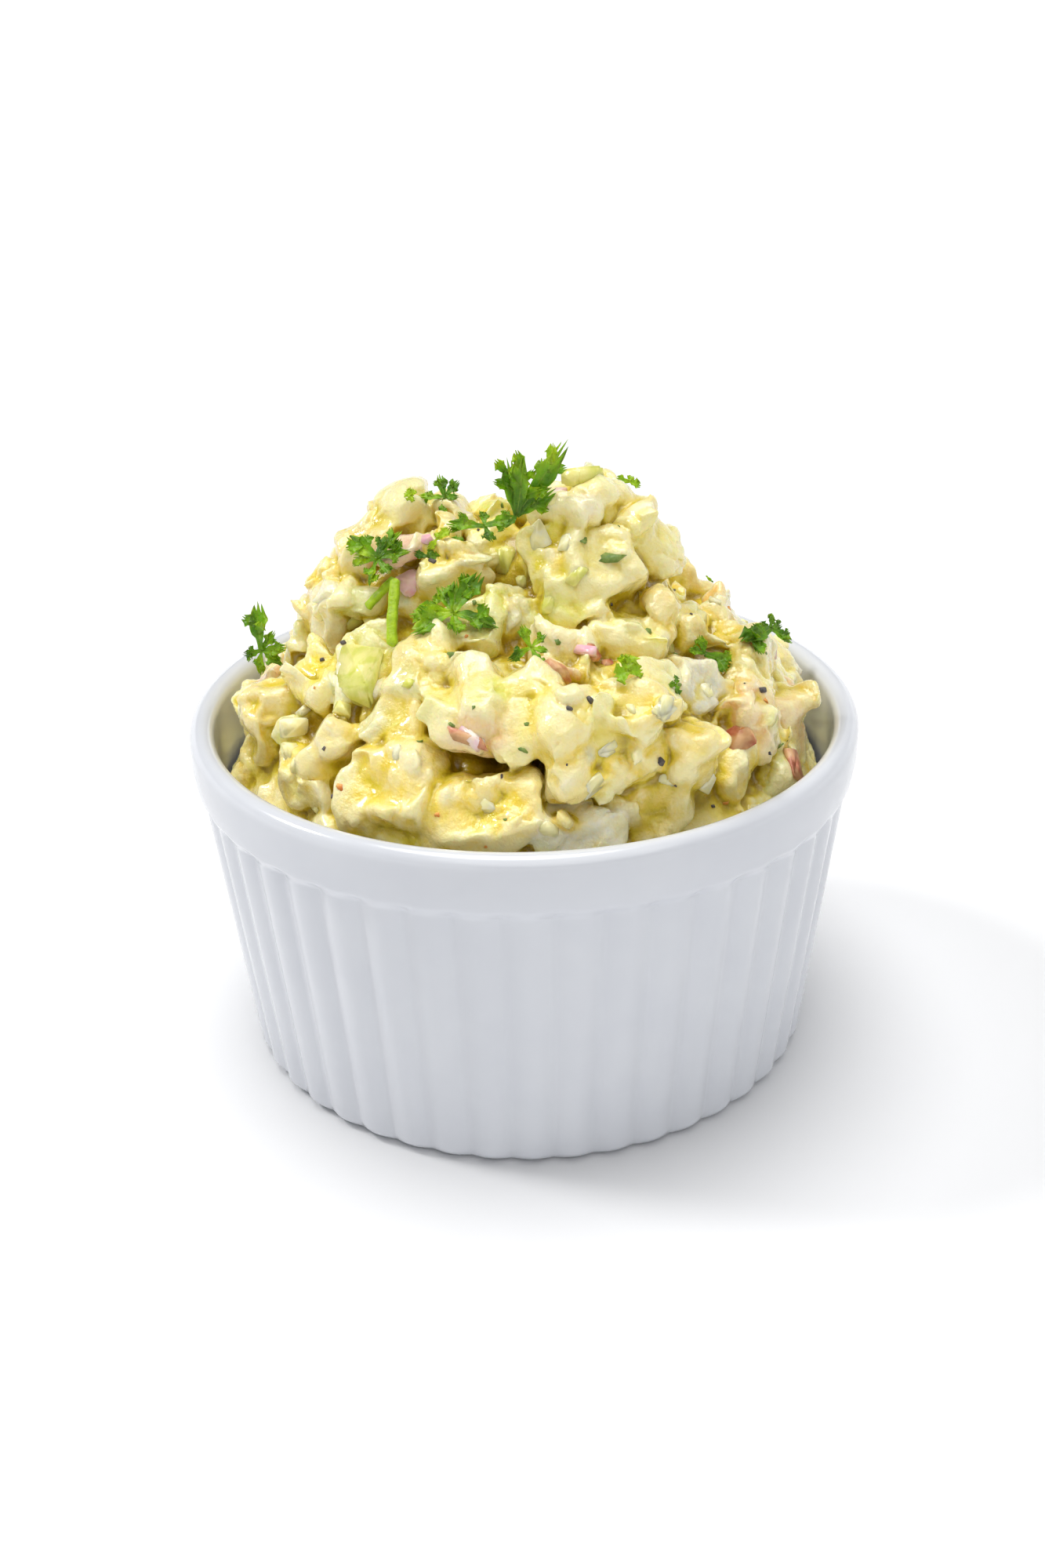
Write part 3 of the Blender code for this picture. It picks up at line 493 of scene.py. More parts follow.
# The small things' materials: two tones, roughness, mottles per metre, light let in, share of dressing.
BIT_MATERIALS = {
    "pepper": ((0.05, 0.045, 0.05), (0.16, 0.13, 0.11), 0.5, 1800.0, 0.0),
    "spice": ((0.85, 0.22, 0.03), (0.90, 0.45, 0.12), 0.4, 1500.0),
    "herb": ((0.10, 0.20, 0.02), (0.25, 0.34, 0.08), 0.4, 1500.0),
    "onion": ((0.93, 0.90, 0.70), (0.84, 0.78, 0.46), 0.16, 500.0, 0.5, 0.7),
    "egg": ((0.97, 0.90, 0.50), (0.96, 0.84, 0.32), 0.3, 800.0, 0.4, 0.6),
    "red_onion": ((0.98, 0.80, 0.72), (0.92, 0.34, 0.52), 0.22, 230.0, 0.4, 0.2),
    "celery": ((0.80, 0.78, 0.24), (0.64, 0.67, 0.10), 0.2, 400.0, 0.5, 0.6),
    "potato_skin": ((0.46, 0.09, 0.04), (0.74, 0.35, 0.20), 0.4, 500.0, 0.3, 0.3),
}


def mesh_from_arrays(name, points, faces):
    """Returns a smooth mesh from an array of points in metres and an array of faces of one size."""
    mesh = bpy.data.meshes.new(name)
    faces = np.asarray(faces, dtype=np.int32)
    mesh.vertices.add(len(points))
    mesh.vertices.foreach_set("co", np.asarray(points, dtype=np.float32).ravel())
    mesh.loops.add(faces.size)
    mesh.loops.foreach_set("vertex_index", faces.ravel())
    mesh.polygons.add(len(faces))
    mesh.polygons.foreach_set("loop_start", np.arange(0, faces.size, faces.shape[1], dtype=np.int32))
    mesh.update(calc_edges=True)
    mesh.validate()
    mesh.shade_smooth()
    return mesh


def link_object(name, data):
    """Puts a new object with that data into the scene."""
    item = bpy.data.objects.new(name, data)
    bpy.context.scene.collection.objects.link(item)
    return item


def add_piece(name, mesh, material, slot, *nodes):
    """Links a piece that rides on the one body, and hides the CAD nodes that it stands for."""
    mesh.materials.clear()
    mesh.materials.append(material)
    piece = link_object(name, mesh)
    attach(piece, "root")
    if nodes:
        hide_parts(*nodes)
    return piece


def moved(points, matrix):
    """Returns an array of points moved by a matrix."""
    place = np.array(matrix)
    return points @ place[:3, :3].T + place[:3, 3]


def joined(parts):
    """Joins parts, each (points, faces), into one pair of arrays."""
    starts = np.cumsum([0] + [len(points) for points, _ in parts[:-1]])
    return (np.concatenate([points for points, _ in parts]),
            np.concatenate([faces + start for (_, faces), start in zip(parts, starts)]))


def ring_points(turns, radius, height):
    """Returns a level ring of points about Z."""
    return np.stack([radius * np.cos(turns), radius * np.sin(turns), np.full(len(turns), height)], -1)


def ring_quads(rows, columns):
    """Returns the quads between rows of points that each run once round."""
    low = np.arange(rows - 1)[:, None] * columns + np.arange(columns)
    after = np.roll(low, -1, axis=1)
    return np.stack([low, after, after + columns, low + columns], -1).reshape(-1, 4)


def bmesh_arrays(work):
    """Returns a bmesh's points and faces as arrays, and frees it."""
    work.verts.index_update()
    points = np.array([vert.co for vert in work.verts])
    faces = np.array([[vert.index for vert in face.verts] for face in work.faces])
    work.free()
    return points, faces


def paint_points(mesh, name, values):
    """Gives a mesh a number or a colour at each point; a new one must be filled before the next is made."""
    if values.ndim == 1:
        mesh.attributes.new(name, "FLOAT", "POINT").data.foreach_set("value", values.astype(np.float32))
        return
    colors = np.ones((len(values), 4), np.float32)
    colors[:, :3] = values
    mesh.attributes.new(name, "FLOAT_COLOR", "POINT").data.foreach_set("color", colors.ravel())


def cell_numbers(cells, seed):
    """Returns a well mixed 32-bit number for each cell of a lattice."""
    key = cells[:, 0] * 73856093 ^ cells[:, 1] * 19349663 ^ cells[:, 2] * 83492791
    key = (key ^ seed * 2654435761) & 0xFFFFFFFF
    key = (key ^ (key >> 15)) * 2246822519 & 0xFFFFFFFF
    return (key ^ (key >> 13)) * 3266489917 & 0xFFFFFFFF


def lattice_noise(points, cell, seed):
    """Smooth noise from -1 to 1 at an array of points; its features are about a cell wide."""
    scaled = points / cell
    base = np.floor(scaled).astype(np.int64)
    part = scaled - base
    fade = part * part * part * (part * (part * 6.0 - 15.0) + 10.0)
    total = np.zeros(len(points))
    for corner in np.ndindex(2, 2, 2):
        key = cell_numbers(base + corner, seed)
        weight = np.where(corner, fade, 1.0 - fade)
        total += weight[:, 0] * weight[:, 1] * weight[:, 2] * (((key ^ (key >> 16)) & 0xFFFF) / 32767.5 - 1.0)
    return total


def cell_bumps(points, cell, seed):
    """Rounded bumps, 0 to 1, one in most cells of a lattice: the crumbly grain of boiled potato."""
    scaled = points / cell
    base = np.floor(scaled).astype(np.int64)
    best = np.zeros(len(points))
    for corner in np.ndindex(3, 3, 3):
        spot = base + np.array(corner) - 1
        key = cell_numbers(spot, seed)
        offset = np.stack([key & 0x3FF, (key >> 10) & 0x3FF, (key >> 20) & 0x3FF], -1) / 1023.0
        reach = 0.45 + 0.45 * ((key >> 5) & 0xFF) / 255.0
        kept = ((key >> 3) & 0xFF) / 255.0 < BUMP_SHARE
        gap = np.linalg.norm(scaled - spot - offset, axis=1) / reach
        best = np.maximum(best, np.where(kept, np.sqrt(np.clip(1.0 - gap * gap, 0.0, 1.0)) * reach, 0.0))
    return best


def turned_grid(profile, columns):
    """Returns points and quads of a profile turned about Z; profile gives (radius or outline, height)."""
    turns = np.linspace(0.0, math.tau, columns, endpoint=False)
    rows = [ring_points(turns, radius(turns) if callable(radius) else radius, height)
            for radius, height in profile]
    return np.concatenate(rows), ring_quads(len(rows), columns)


def reeded(radius, depth=REED_DEPTH):
    """Returns the fluted wall's outline: round reeds with valleys that the glaze softens."""
    def outline(turns):
        return radius + depth * np.sqrt(np.sin(REED_COUNT * turns / 2.0) ** 2 + 0.004)
    return outline


def inside_radius(height):
    """Returns the inner radius of the ramekin at a height."""
    corner_top = FLOOR_HEIGHT + CORNER_RADIUS
    slope = (INSIDE_TOP_RADIUS - INSIDE_BASE_RADIUS) / (INSIDE_TOP_HEIGHT - corner_top)
    if height >= corner_top:
        return min(INSIDE_BASE_RADIUS + slope * (height - corner_top), LIP_INNER_RADIUS)
    drop = min(corner_top - height, CORNER_RADIUS)
    return INSIDE_BASE_RADIUS - CORNER_RADIUS + math.sqrt(CORNER_RADIUS ** 2 - drop ** 2)


def make_dish(material):
    """Builds the ramekin: foot ring, reeded wall that dies into a plain band, round lip, inside."""
    profile = [(FOOT_INNER_RADIUS * 0.02, FOOT_RECESS), (FOOT_INNER_RADIUS - 1.4 * FOOT_RECESS, FOOT_RECESS)]
    for share in (0.3, 0.7):
        profile.append((FOOT_INNER_RADIUS - FOOT_RECESS * (1.0 - share), FOOT_RECESS * (1.0 - share ** 2)))
    profile.append((FOOT_INNER_RADIUS + 0.2 * MM, 0.0))
    profile.append((FOOT_OUTER_RADIUS - 0.3 * MM, 0.0))
    for share in np.arange(1, 9) / 8.0:
        inset = BASE_EDGE_INSET * (1.0 - math.sqrt(1.0 - (1.0 - share) ** 2))
        outline = reeded(REED_BASE_RADIUS - inset, REED_DEPTH * min(1.0, 0.35 + share))
        profile.append((outline, BASE_EDGE_HEIGHT * share))
    reed_top = BAND_BOTTOM - 1.2 * MM
    for share in np.arange(1, 9) / 8.0:
        outline = reeded(REED_BASE_RADIUS + (REED_TOP_RADIUS - REED_BASE_RADIUS) * share)
        profile.append((outline, BASE_EDGE_HEIGHT + (reed_top - BASE_EDGE_HEIGHT) * share))
    band_radius = RIM_RADIUS - 0.25 * MM
    for share in np.arange(1, 8) / 7.0:
        ease = share * share * (3.0 - 2.0 * share)
        outline = reeded(REED_TOP_RADIUS + (band_radius - REED_TOP_RADIUS) * ease, REED_DEPTH * (1.0 - ease))
        profile.append((outline, reed_top + 2.2 * MM * share))
    profile.append((RIM_RADIUS + 0.02 * MM, BAND_BOTTOM + 3.2 * MM))
    lip_middle = (RIM_RADIUS + LIP_INNER_RADIUS) / 2.0
    lip_half = (RIM_RADIUS - LIP_INNER_RADIUS) / 2.0
    for step in range(15):
        turn = math.pi * step / 14.0
        height = DISH_HEIGHT - LIP_DROP + LIP_DROP * math.sin(turn)
        profile.append((lip_middle + lip_half * math.cos(turn), height))
    profile.append((LIP_INNER_RADIUS - 0.25 * MM, DISH_HEIGHT - 4.5 * MM))
    profile.append((INSIDE_TOP_RADIUS, INSIDE_TOP_HEIGHT))
    for share in (1.0, 0.7, 0.45, 0.25, 0.1, 0.0):
        height = FLOOR_HEIGHT + CORNER_RADIUS * share
        profile.append((inside_radius(height), height))
    profile.append((0.5 * MM, FLOOR_HEIGHT))
    mesh = mesh_from_arrays("ramekin", *turned_grid(profile, REED_COUNT * REED_STEPS))
    work = bmesh.new()
    work.from_mesh(mesh)
    bmesh.ops.holes_fill(work, edges=work.edges, sides=0)
    bmesh.ops.recalc_face_normals(work, faces=work.faces)
    work.to_mesh(mesh)
    work.free()
    mesh.shade_smooth()
    return add_piece("ramekin", mesh, material, "glaze", "dish")


def direction(longitude, latitude):
    """Returns the unit vector from the mound's centre to a longitude and latitude."""
    lon = math.radians(longitude)
    lat = math.radians(latitude)
    return Vector((math.cos(lat) * math.sin(lon), -math.cos(lat) * math.cos(lon), math.sin(lat)))


def mound_reach(way):
    """Returns how far the mound's outline lies from its centre along a unit vector."""
    best = 0.0
    for centre, radii in MOUND_CLUMPS:
        start = MOUND_CENTRE / MM - Vector(centre)
        scaled_way = Vector([w / r for w, r in zip(way, radii)])
        scaled_start = Vector([s / r for s, r in zip(start, radii)])
        a = scaled_way.dot(scaled_way)
        b = scaled_start.dot(scaled_way)
        c = scaled_start.dot(scaled_start) - 1.0
        inner = b * b - a * c
        if inner > 0.0:
            best = max(best, (math.sqrt(inner) - b) / a)
    return best * MM


def mound_reaches(ways):
    """The same as mound_reach for an array of unit vectors."""
    best = np.zeros(len(ways))
    for centre, radii in MOUND_CLUMPS:
        start = (np.array(MOUND_CENTRE) / MM - np.array(centre)) / np.array(radii)
        scaled = ways / np.array(radii)
        a = (scaled * scaled).sum(1)
        b = scaled @ start
        c = start @ start - 1.0
        inner = b * b - a * c
        reach = (np.sqrt(np.clip(inner, 0.0, None)) - b) / a
        best = np.maximum(best, np.where(inner > 0.0, reach, 0.0))
    return best * MM


def mound_point(longitude, latitude, lift=0.0):
    """Returns a point on the mound's outline, or above it along the way from the centre."""
    way = direction(longitude, latitude)
    return MOUND_CENTRE + way * (mound_reach(way) + lift)


def mound_frame(longitude, latitude):
    """Returns the outline's point there, with its outward, rightward and upward unit vectors."""
    step = 1.5
    high = min(latitude, 90.0 - step)
    side = mound_point(longitude + step, high) - mound_point(longitude - step, high)
    rise = mound_point(longitude, high + step) - mound_point(longitude, high - step)
    outward = side.cross(rise).normalized()
    outward = (outward + OVERHANG * direction(longitude, high)).normalized()
    right = (side - outward * side.dot(outward)).normalized()
    return mound_point(longitude, high), outward, right, outward.cross(right)


def piece_matrix(longitude, latitude, size, turn, proud, rng):
    """Returns a piece's place: its outer face stands proud of the outline."""
    point, outward, right, upward = mound_frame(longitude, latitude)
    basis = Matrix((right, upward, outward)).transposed()
    spin = Matrix.Rotation(math.radians(turn), 3, "Z")
    tip = Matrix.Rotation(math.radians(rng.uniform(-PIECE_TILT_DEGREES, PIECE_TILT_DEGREES)), 3, "X")
    lean = Matrix.Rotation(math.radians(rng.uniform(-PIECE_TILT_DEGREES, PIECE_TILT_DEGREES)), 3, "Y")
    centre = point + outward * (proud * MM - size[2] / 2.0)
    return Matrix.Translation(centre) @ (basis @ spin @ tip @ lean).to_4x4()


def piece_points(size, rng, bulge):
    """Returns the corners of an uneven cut cube, with a point raised on each face if bulge > 0."""
    half = Vector(size) / 2.0
    points = []
    for corner in range(8):
        signs = [1 if corner & bit else -1 for bit in (1, 2, 4)]
        points.append(Vector([s * h * rng.uniform(*PIECE_CORNER) for s, h in zip(signs, half)]))
    if bulge > 0.0:
        for axis in range(3):
            for sign in (-1, 1):
                point = Vector([h * rng.uniform(-0.3, 0.3) for h in half])
                point[axis] = sign * half[axis] * bulge
                points.append(point)
    return points


def inward_shift(points):
    """Returns how a piece moves inward until none of it comes near the ramekin."""
    excess = 0.0
    flat_of_facet = math.cos(math.pi / REED_COUNT)
    for point in points:
        if point.z < DISH_HEIGHT + CLEARANCE:
            limit = inside_radius(min(point.z, DISH_HEIGHT)) * flat_of_facet - CLEARANCE
            excess = max(excess, math.hypot(point.x, point.y) - limit)
    middle = sum(points, Vector()) / len(points)
    inward = -Vector((middle.x, middle.y, 0.0)).normalized()
    return inward * excess * 1.02


def salad_layout(rng):
    """Lists each piece's longitude, latitude, size, turn, proud, bulge and kind."""
    layout = []
    taken = []
    for lon, lat, width, height, depth, turn, proud, kind in PLACED_PIECES:
        size = Vector((width, height, depth)) * MM
        layout.append((lon, lat, size, turn, proud, FACE_BULGE, kind))
        taken.append((mound_point(lon, lat), max(width, height) * MM / 2.0))
    spots = int(math.tau * SALAD_SHOULDER_RADIUS ** 2 / FILLER_SPACING ** 2)
    for index in range(spots):
        lat = math.degrees(math.asin((index + 0.5) / spots))
        lon = math.degrees(index * math.pi * (3.0 - math.sqrt(5.0))) % 360.0 - 180.0
        lat = lat + rng.uniform(-2.5, 2.5)
        size = Vector([rng.uniform(*FILLER_SIZE) for _ in range(3)])
        turn = rng.uniform(0.0, 90.0)
        proud = rng.uniform(*FILLER_PROUD_MM)
        point = mound_point(lon, lat)
        reach = max(size.x, size.y) / 2.0
        if all((point - other).length > FILLER_CROWDING * (reach + radius) for other, radius in taken):
            layout.append((lon, lat, size, turn, proud, 0.0, FILLER_KINDS[index % len(FILLER_KINDS)]))
            taken.append((point, reach))
    return layout


def salad_pieces():
    """Places every piece of the heap as the solids have it: (matrix, half size, corners, kind)."""
    rng = random.Random(SEED)
    pieces = []

    def place_piece(lon, lat, size, turn, proud, bulge, kind):
        matrix = piece_matrix(lon, lat, size, turn, proud, rng)
        points = piece_points(size, rng, bulge)
        shift = inward_shift([matrix @ point for point in points])
        corners = np.array([[abs(v) for v in point] for point in points[:8]]) / (np.array(size) / 2.0)
        pieces.append((Matrix.Translation(shift) @ matrix, np.array(size) / 2.0, corners, kind))

    for entry in salad_layout(rng):
        place_piece(*entry)
    for index in range(CRUMB_COUNT):
        lon = rng.uniform(-180.0, 180.0)
        lat = math.degrees(math.asin(rng.uniform(0.03, 0.99)))
        size = Vector([rng.uniform(*CRUMB_SIZE) for _ in range(3)])
        if math.hypot(lon - HOLLOW[0], lat - HOLLOW[1]) < HOLLOW_SPAN:
            continue
        turn = rng.uniform(0.0, 90.0)
        proud = rng.uniform(*CRUMB_PROUD_MM)
        place_piece(lon, lat, size, turn, proud, 0.0, CRUMB_KINDS[index % len(CRUMB_KINDS)])
    return pieces


def cube_template(steps):
    """Returns the points of a cube from -1 to 1, split into steps squares a side, and its quads."""
    work = bmesh.new()
    bmesh.ops.create_cube(work, size=2.0)
    bmesh.ops.subdivide_edges(work, edges=work.edges, cuts=steps - 1, use_grid_fill=True)
    return bmesh_arrays(work)


def corner_signs(corner):
    """Returns the signs of one of a cube's eight corners."""
    return [1 if corner & bit else -1 for bit in (1, 2, 4)]


def block_points(template, matrix, half, corners, power, index):
    """Returns a rounded, uneven block of food in place; a higher power keeps sharper edges."""
    spread = np.ones_like(template)
    for corner in range(8):
        weight = ((1.0 + template * np.array(corner_signs(corner))) / 2.0).prod(1)
        spread += weight[:, None] * (corners[corner] / 0.79 - 1.0)
    block = template / (np.abs(template) ** power).sum(1)[:, None] ** (1.0 / power)
    points = moved(block * spread * half, matrix)
    (coarse, high), (fine, low) = SWELLS
    swell = lattice_noise(points + index * 0.013, coarse * MM, 3) * high * MM
    swell += lattice_noise(points + index * 0.007, fine * MM, 4) * low * MM
    outward = block @ np.array(matrix)[:3, :3].T
    return points + outward * (swell * min(1.0, half.min() / (3.0 * MM)))[:, None]


def core_arrays():
    """Returns the points and quads of the core under the pieces, from just below the rim up."""
    turns = np.linspace(0.0, math.tau, CORE_COLUMNS, endpoint=False)
    bottom = CUT_HEIGHT - 2.0 * MM
    rows = [ring_points(turns, radius, height) for radius, height in (
        (0.01 * MM, bottom), (39.6 * MM, bottom), (INSIDE_TOP_RADIUS - CLEARANCE, INSIDE_TOP_HEIGHT),
        (SALAD_SHOULDER_RADIUS, SALAD_SHOULDER_HEIGHT))]
    for latitude in np.linspace(6.0, 89.99, CORE_ROWS):
        lat = math.radians(latitude)
        ways = ring_points(turns, math.cos(lat), math.sin(lat))
        lon = np.degrees(np.arctan2(ways[:, 0], -ways[:, 1]))
        wide, high = HOLLOW_SPREAD_DEGREES
        gap = ((lon - HOLLOW[0]) / wide) ** 2 + ((latitude - HOLLOW[1]) / high) ** 2
        reach = mound_reaches(ways) - CORE_SINK - HOLLOW_DEPTH * np.exp(-gap)
        rows.append(np.array(MOUND_CENTRE) + ways * reach[:, None])
    return np.concatenate(rows), ring_quads(len(rows), CORE_COLUMNS)


def read_points(mesh):
    """Returns a mesh's points as an array."""
    points = np.empty(len(mesh.vertices) * 3, np.float32)
    mesh.vertices.foreach_get("co", points)
    return points.reshape(-1, 3).astype(np.float64)


def read_normals(mesh):
    """Returns a mesh's point normals as an array."""
    normals = np.empty(len(mesh.vertices) * 3, np.float32)
    mesh.vertex_normals.foreach_get("vector", normals)
    return normals.reshape(-1, 3).astype(np.float64)


def write_points(mesh, points):
    """Moves a mesh's points."""
    mesh.vertices.foreach_set("co", points.astype(np.float32).ravel())
    mesh.update()


def applied_mesh(mesh, *modifiers):
    """Returns the mesh with modifiers applied; each is (type, settings)."""
    holder = link_object("holder", mesh)
    for kind, settings in modifiers:
        modifier = holder.modifiers.new(kind.lower(), kind)
        for key, value in settings.items():
            setattr(modifier, key, value)
    result = bpy.data.meshes.new_from_object(holder.evaluated_get(bpy.context.evaluated_depsgraph_get()))
    bpy.data.objects.remove(holder, do_unlink=True)
    return result


def tint_points(points, pieces):
    """Colours each point by the pieces that it lies on, blended where two meet."""
    total = np.full(len(points), 0.02)
    color = np.tile(np.array(KIND_COLORS["cream"]) * 0.02, (len(points), 1))
    rng = random.Random(SEED + 1)
    for matrix, half, _, kind in pieces:
        base = np.clip(np.array(KIND_COLORS[kind]) * rng.uniform(0.88, 1.05), 0.0, 0.97)
        base[2] = min(0.9, base[2] * rng.uniform(0.6, 1.35))
        near = np.abs(points - np.array(matrix)[:3, 3]).max(1) < np.linalg.norm(half) + 1.0 * MM
        norm = (np.abs(moved(points[near], matrix.inverted()) / half) ** 4).sum(1) ** 0.25
        weight = np.exp(-np.clip((norm - 0.9) * half.min() / (0.2 * MM), -2.0, 30.0))
        total[near] += weight
        color[near] += weight[:, None] * base
    return color / total[:, None]


def chopped_bit(size, rng):
    """Returns the points and triangles of a small cut lump with flat, uneven faces."""
    work = bmesh.new()
    for corner in range(8):
        signs = corner_signs(corner)
        work.verts.new([sign * length / 2.0 * rng.uniform(0.45, 1.0) for sign, length in zip(signs, size)])
    for _ in range(3):
        work.verts.new([length / 2.0 * rng.uniform(-0.9, 0.9) for length in size])
    hull = bmesh.ops.convex_hull(work, input=work.verts)
    inner = set(hull["geom_unused"]) | set(hull["geom_interior"])
    inner_points = [item for item in inner if isinstance(item, bmesh.types.BMVert)]
    bmesh.ops.delete(work, geom=inner_points, context="VERTS")
    return bmesh_arrays(work)


def surface_spots(tree, count, rng, low_latitude=-4.0):
    """Finds places all over the heap: (point, normal) pairs, evenly by solid angle."""
    spots = []
    low = math.sin(math.radians(low_latitude))
    for _ in range(count):
        lon = rng.uniform(-180.0, 180.0)
        lat = math.degrees(math.asin(rng.uniform(low, 0.995)))
        way = direction(lon, lat)
        point, normal, _, _ = tree.ray_cast(MOUND_CENTRE + way * 60.0 * MM, -way)
        if point is not None and point.z > SALAD_SHOULDER_HEIGHT - 2.0 * MM:
            spots.append((point, normal if normal.dot(way) > 0.0 else -normal))
    return spots


def standing_matrix(point, normal, spin):
    """Returns a place whose own Z looks along a normal, turned about it."""
    turn = normal.to_track_quat("Z", "Y").to_matrix() @ Matrix.Rotation(spin, 3, "Z")
    return Matrix.Translation(point) @ turn.to_4x4()


def concavity(mesh, points, normals, rounds):
    """Returns how deep each point lies in a crease, in metres: below the smoothed skin is positive."""
    edges = np.empty(len(mesh.edges) * 2, np.int32)
    mesh.edges.foreach_get("vertices", edges)
    edges = edges.reshape(-1, 2)
    both = np.concatenate([edges, edges[:, ::-1]])
    degree = np.maximum(np.bincount(both[:, 0], minlength=len(points)), 1)
    smooth = points.copy()
    for _ in range(rounds):
        smooth = np.stack([np.bincount(both[:, 0], smooth[both[:, 1], axis], len(points)) / degree
                           for axis in range(3)], -1)
    return ((smooth - points) * normals).sum(1)


def warp_shift(points):
    """Returns a wavering sideways shift that leaves no cut face flat or edge straight."""
    shift = np.zeros_like(points)
    for cell, reach in (WARP_COARSE, WARP_FINE):
        for axis in range(3):
            shift[:, axis] += lattice_noise(points, cell, 21 + axis) * reach
    free = np.clip((points[:, 2] - WARP_LOW) / (WARP_HIGH - WARP_LOW), 0.1, 1.0)
    return shift * free[:, None]


def seat_shift(skin, points, leaves):
    """Returns how the skin moves: up to a leaf that it misses, and down off one that it covers."""
    tree = BVHTree.FromPolygons(points.tolist(), [face.vertices for face in skin.polygons])
    shift = np.zeros_like(points)
    for leaf in leaves:
        corners = read_points(leaf.data)
        gaps = []
        feet = []
        normals = []
        for corner in corners:
            foot, normal, _, gap = tree.find_nearest(Vector(corner))
            gaps.append(gap if (Vector(corner) - foot).dot(normal) > 0.0 else -gap)
            feet.append(foot)
            normals.append(normal)
        lowest = int(np.argmin(gaps))
        if gaps[lowest] > -LEAF_TOUCH:
            rise = gaps[lowest] + LEAF_BITE
            away = np.linalg.norm(points - np.array(feet[lowest]), axis=1)
            fade = np.exp(-(away / (SEAT_REACH + rise)) ** 2)
            shift += fade[:, None] * np.array(normals[lowest]) * rise
        elif np.median(gaps) < 0.0:
            drop = min(UNCOVER_RISE - np.median(gaps), UNCOVER_LIMIT)
            outward = np.mean(normals, axis=0)
            away = np.linalg.norm(points - corners.mean(0), axis=1)
            fade = np.exp(-(away / UNCOVER_REACH) ** 2)
            shift -= fade[:, None] * outward / np.linalg.norm(outward) * drop
    return shift


def chopped_lumps(tree, rng):
    """Strews lumps over the blocks: returns their (points, triangles) and what tint_points needs."""
    parts = []
    lumps = []
    for index, (point, normal) in enumerate(surface_spots(tree, LUMP_COUNT, rng)):
        grade = rng.random() ** LUMP_GRADE
        if (point - mound_point(*HOLLOW, -2.0 * MM)).length < HOLLOW_CLEAR:
            continue
        width = (LUMP_SIZE_MM[0] + (LUMP_SIZE_MM[1] - LUMP_SIZE_MM[0]) * grade) * MM
        size = np.array([width * rng.uniform(*share) for share in LUMP_SHARES])
        away = (normal + Vector([rng.uniform(-LUMP_LEAN, LUMP_LEAN) for _ in range(3)])).normalized()
        place = point + normal * size[2] * rng.uniform(*LUMP_PROUD)
        matrix = standing_matrix(place, away, rng.uniform(0.0, math.tau))
        points, triangles = chopped_bit(size, rng)
        parts.append((moved(points, matrix), triangles))
        lumps.append((matrix, size / 2.0, None, LUMP_KINDS[index % len(LUMP_KINDS)]))
    return parts, lumps


def melted_skin(parts):
    """Melts overlapping parts into one skin that is open below the rim."""
    rough = mesh_from_arrays("rough_salad", *joined(parts))
    skin = applied_mesh(rough, ("REMESH", {"mode": "VOXEL", "voxel_size": VOXEL}),
                        ("SMOOTH", {"factor": 0.5, "iterations": 3}))
    bpy.data.meshes.remove(rough)
    work = bmesh.new()
    work.from_mesh(skin)
    low = [face for face in work.faces if face.calc_center_median().z < CUT_HEIGHT]
    bmesh.ops.delete(work, geom=low, context="FACES")
    work.to_mesh(skin)
    work.free()
    return skin


def skin_relief(points):
    """Returns how far the food's grain stands out of the skin: waves, and crumbs in rough places."""
    rough = np.clip(lattice_noise(points, ROUGH_ZONE * MM, 11) * 1.6 + 0.45, 0.0, 1.0)
    relief = lattice_noise(points, WAVE[0] * MM, 12) * WAVE[1] * MM
    relief += (cell_bumps(points, GRAIN[0] * MM, 13) - 0.35) * GRAIN[1] * MM * rough
    relief += (cell_bumps(points, FINE_GRAIN[0] * MM, 14) - 0.3) * FINE_GRAIN[1] * MM * (0.1 + 0.9 * rough)
    relief += lattice_noise(points, SMALL_WAVE[0] * MM, 15) * SMALL_WAVE[1] * MM
    return relief


def paint_salad(skin, source, pieces):
    """Gives the skin its depth below the mound and in creases, which the material paints as shade and
    highlight, the colours of its pieces, and a painted brown shade in the hollow.
    """
    place = read_points(skin)
    way = place - np.array(MOUND_CENTRE)
    reach = np.linalg.norm(way, axis=1)
    sunk_shade = np.clip((mound_reaches(way / reach[:, None]) - reach) / SUNK_DEPTH, -0.1, 1.0)
    crease = concavity(skin, place, read_normals(skin), CREASE_ROUNDS) / CREASE_DEPTH
    colors = tint_points(source, pieces).astype(np.float32)
    pale = np.clip((colors[:, 2] - 0.5) / 0.2, 0.0, 1.0)
    # Painted shade and highlight: depth rises below the mound's outline and in creases, which the material
    # darkens, and falls on ridges, which it paints paler; pale pieces get little of it.
    level = 0.28 + (sunk_shade * 0.45 + crease * 0.6) * (1.0 - 0.85 * pale)
    paint_points(skin, "depth", np.clip(level, 0.0, 1.0))
    # Painted shade: a dark brown laid into the hollow, strongest where the skin lies deepest.
    hollow = np.array(mound_point(*HOLLOW, -4.0 * MM))
    brown_shade = np.exp(-(np.linalg.norm(place - hollow, axis=1) / HOLLOW_SHADE_REACH) ** 4)
    brown_shade = brown_shade * np.clip(sunk_shade * 3.0 - 0.4, 0.0, 1.0)
    colors += (np.array(HOLLOW_SHADED_BROWN) - colors) * brown_shade[:, None]
    paint_points(skin, "tint", colors)


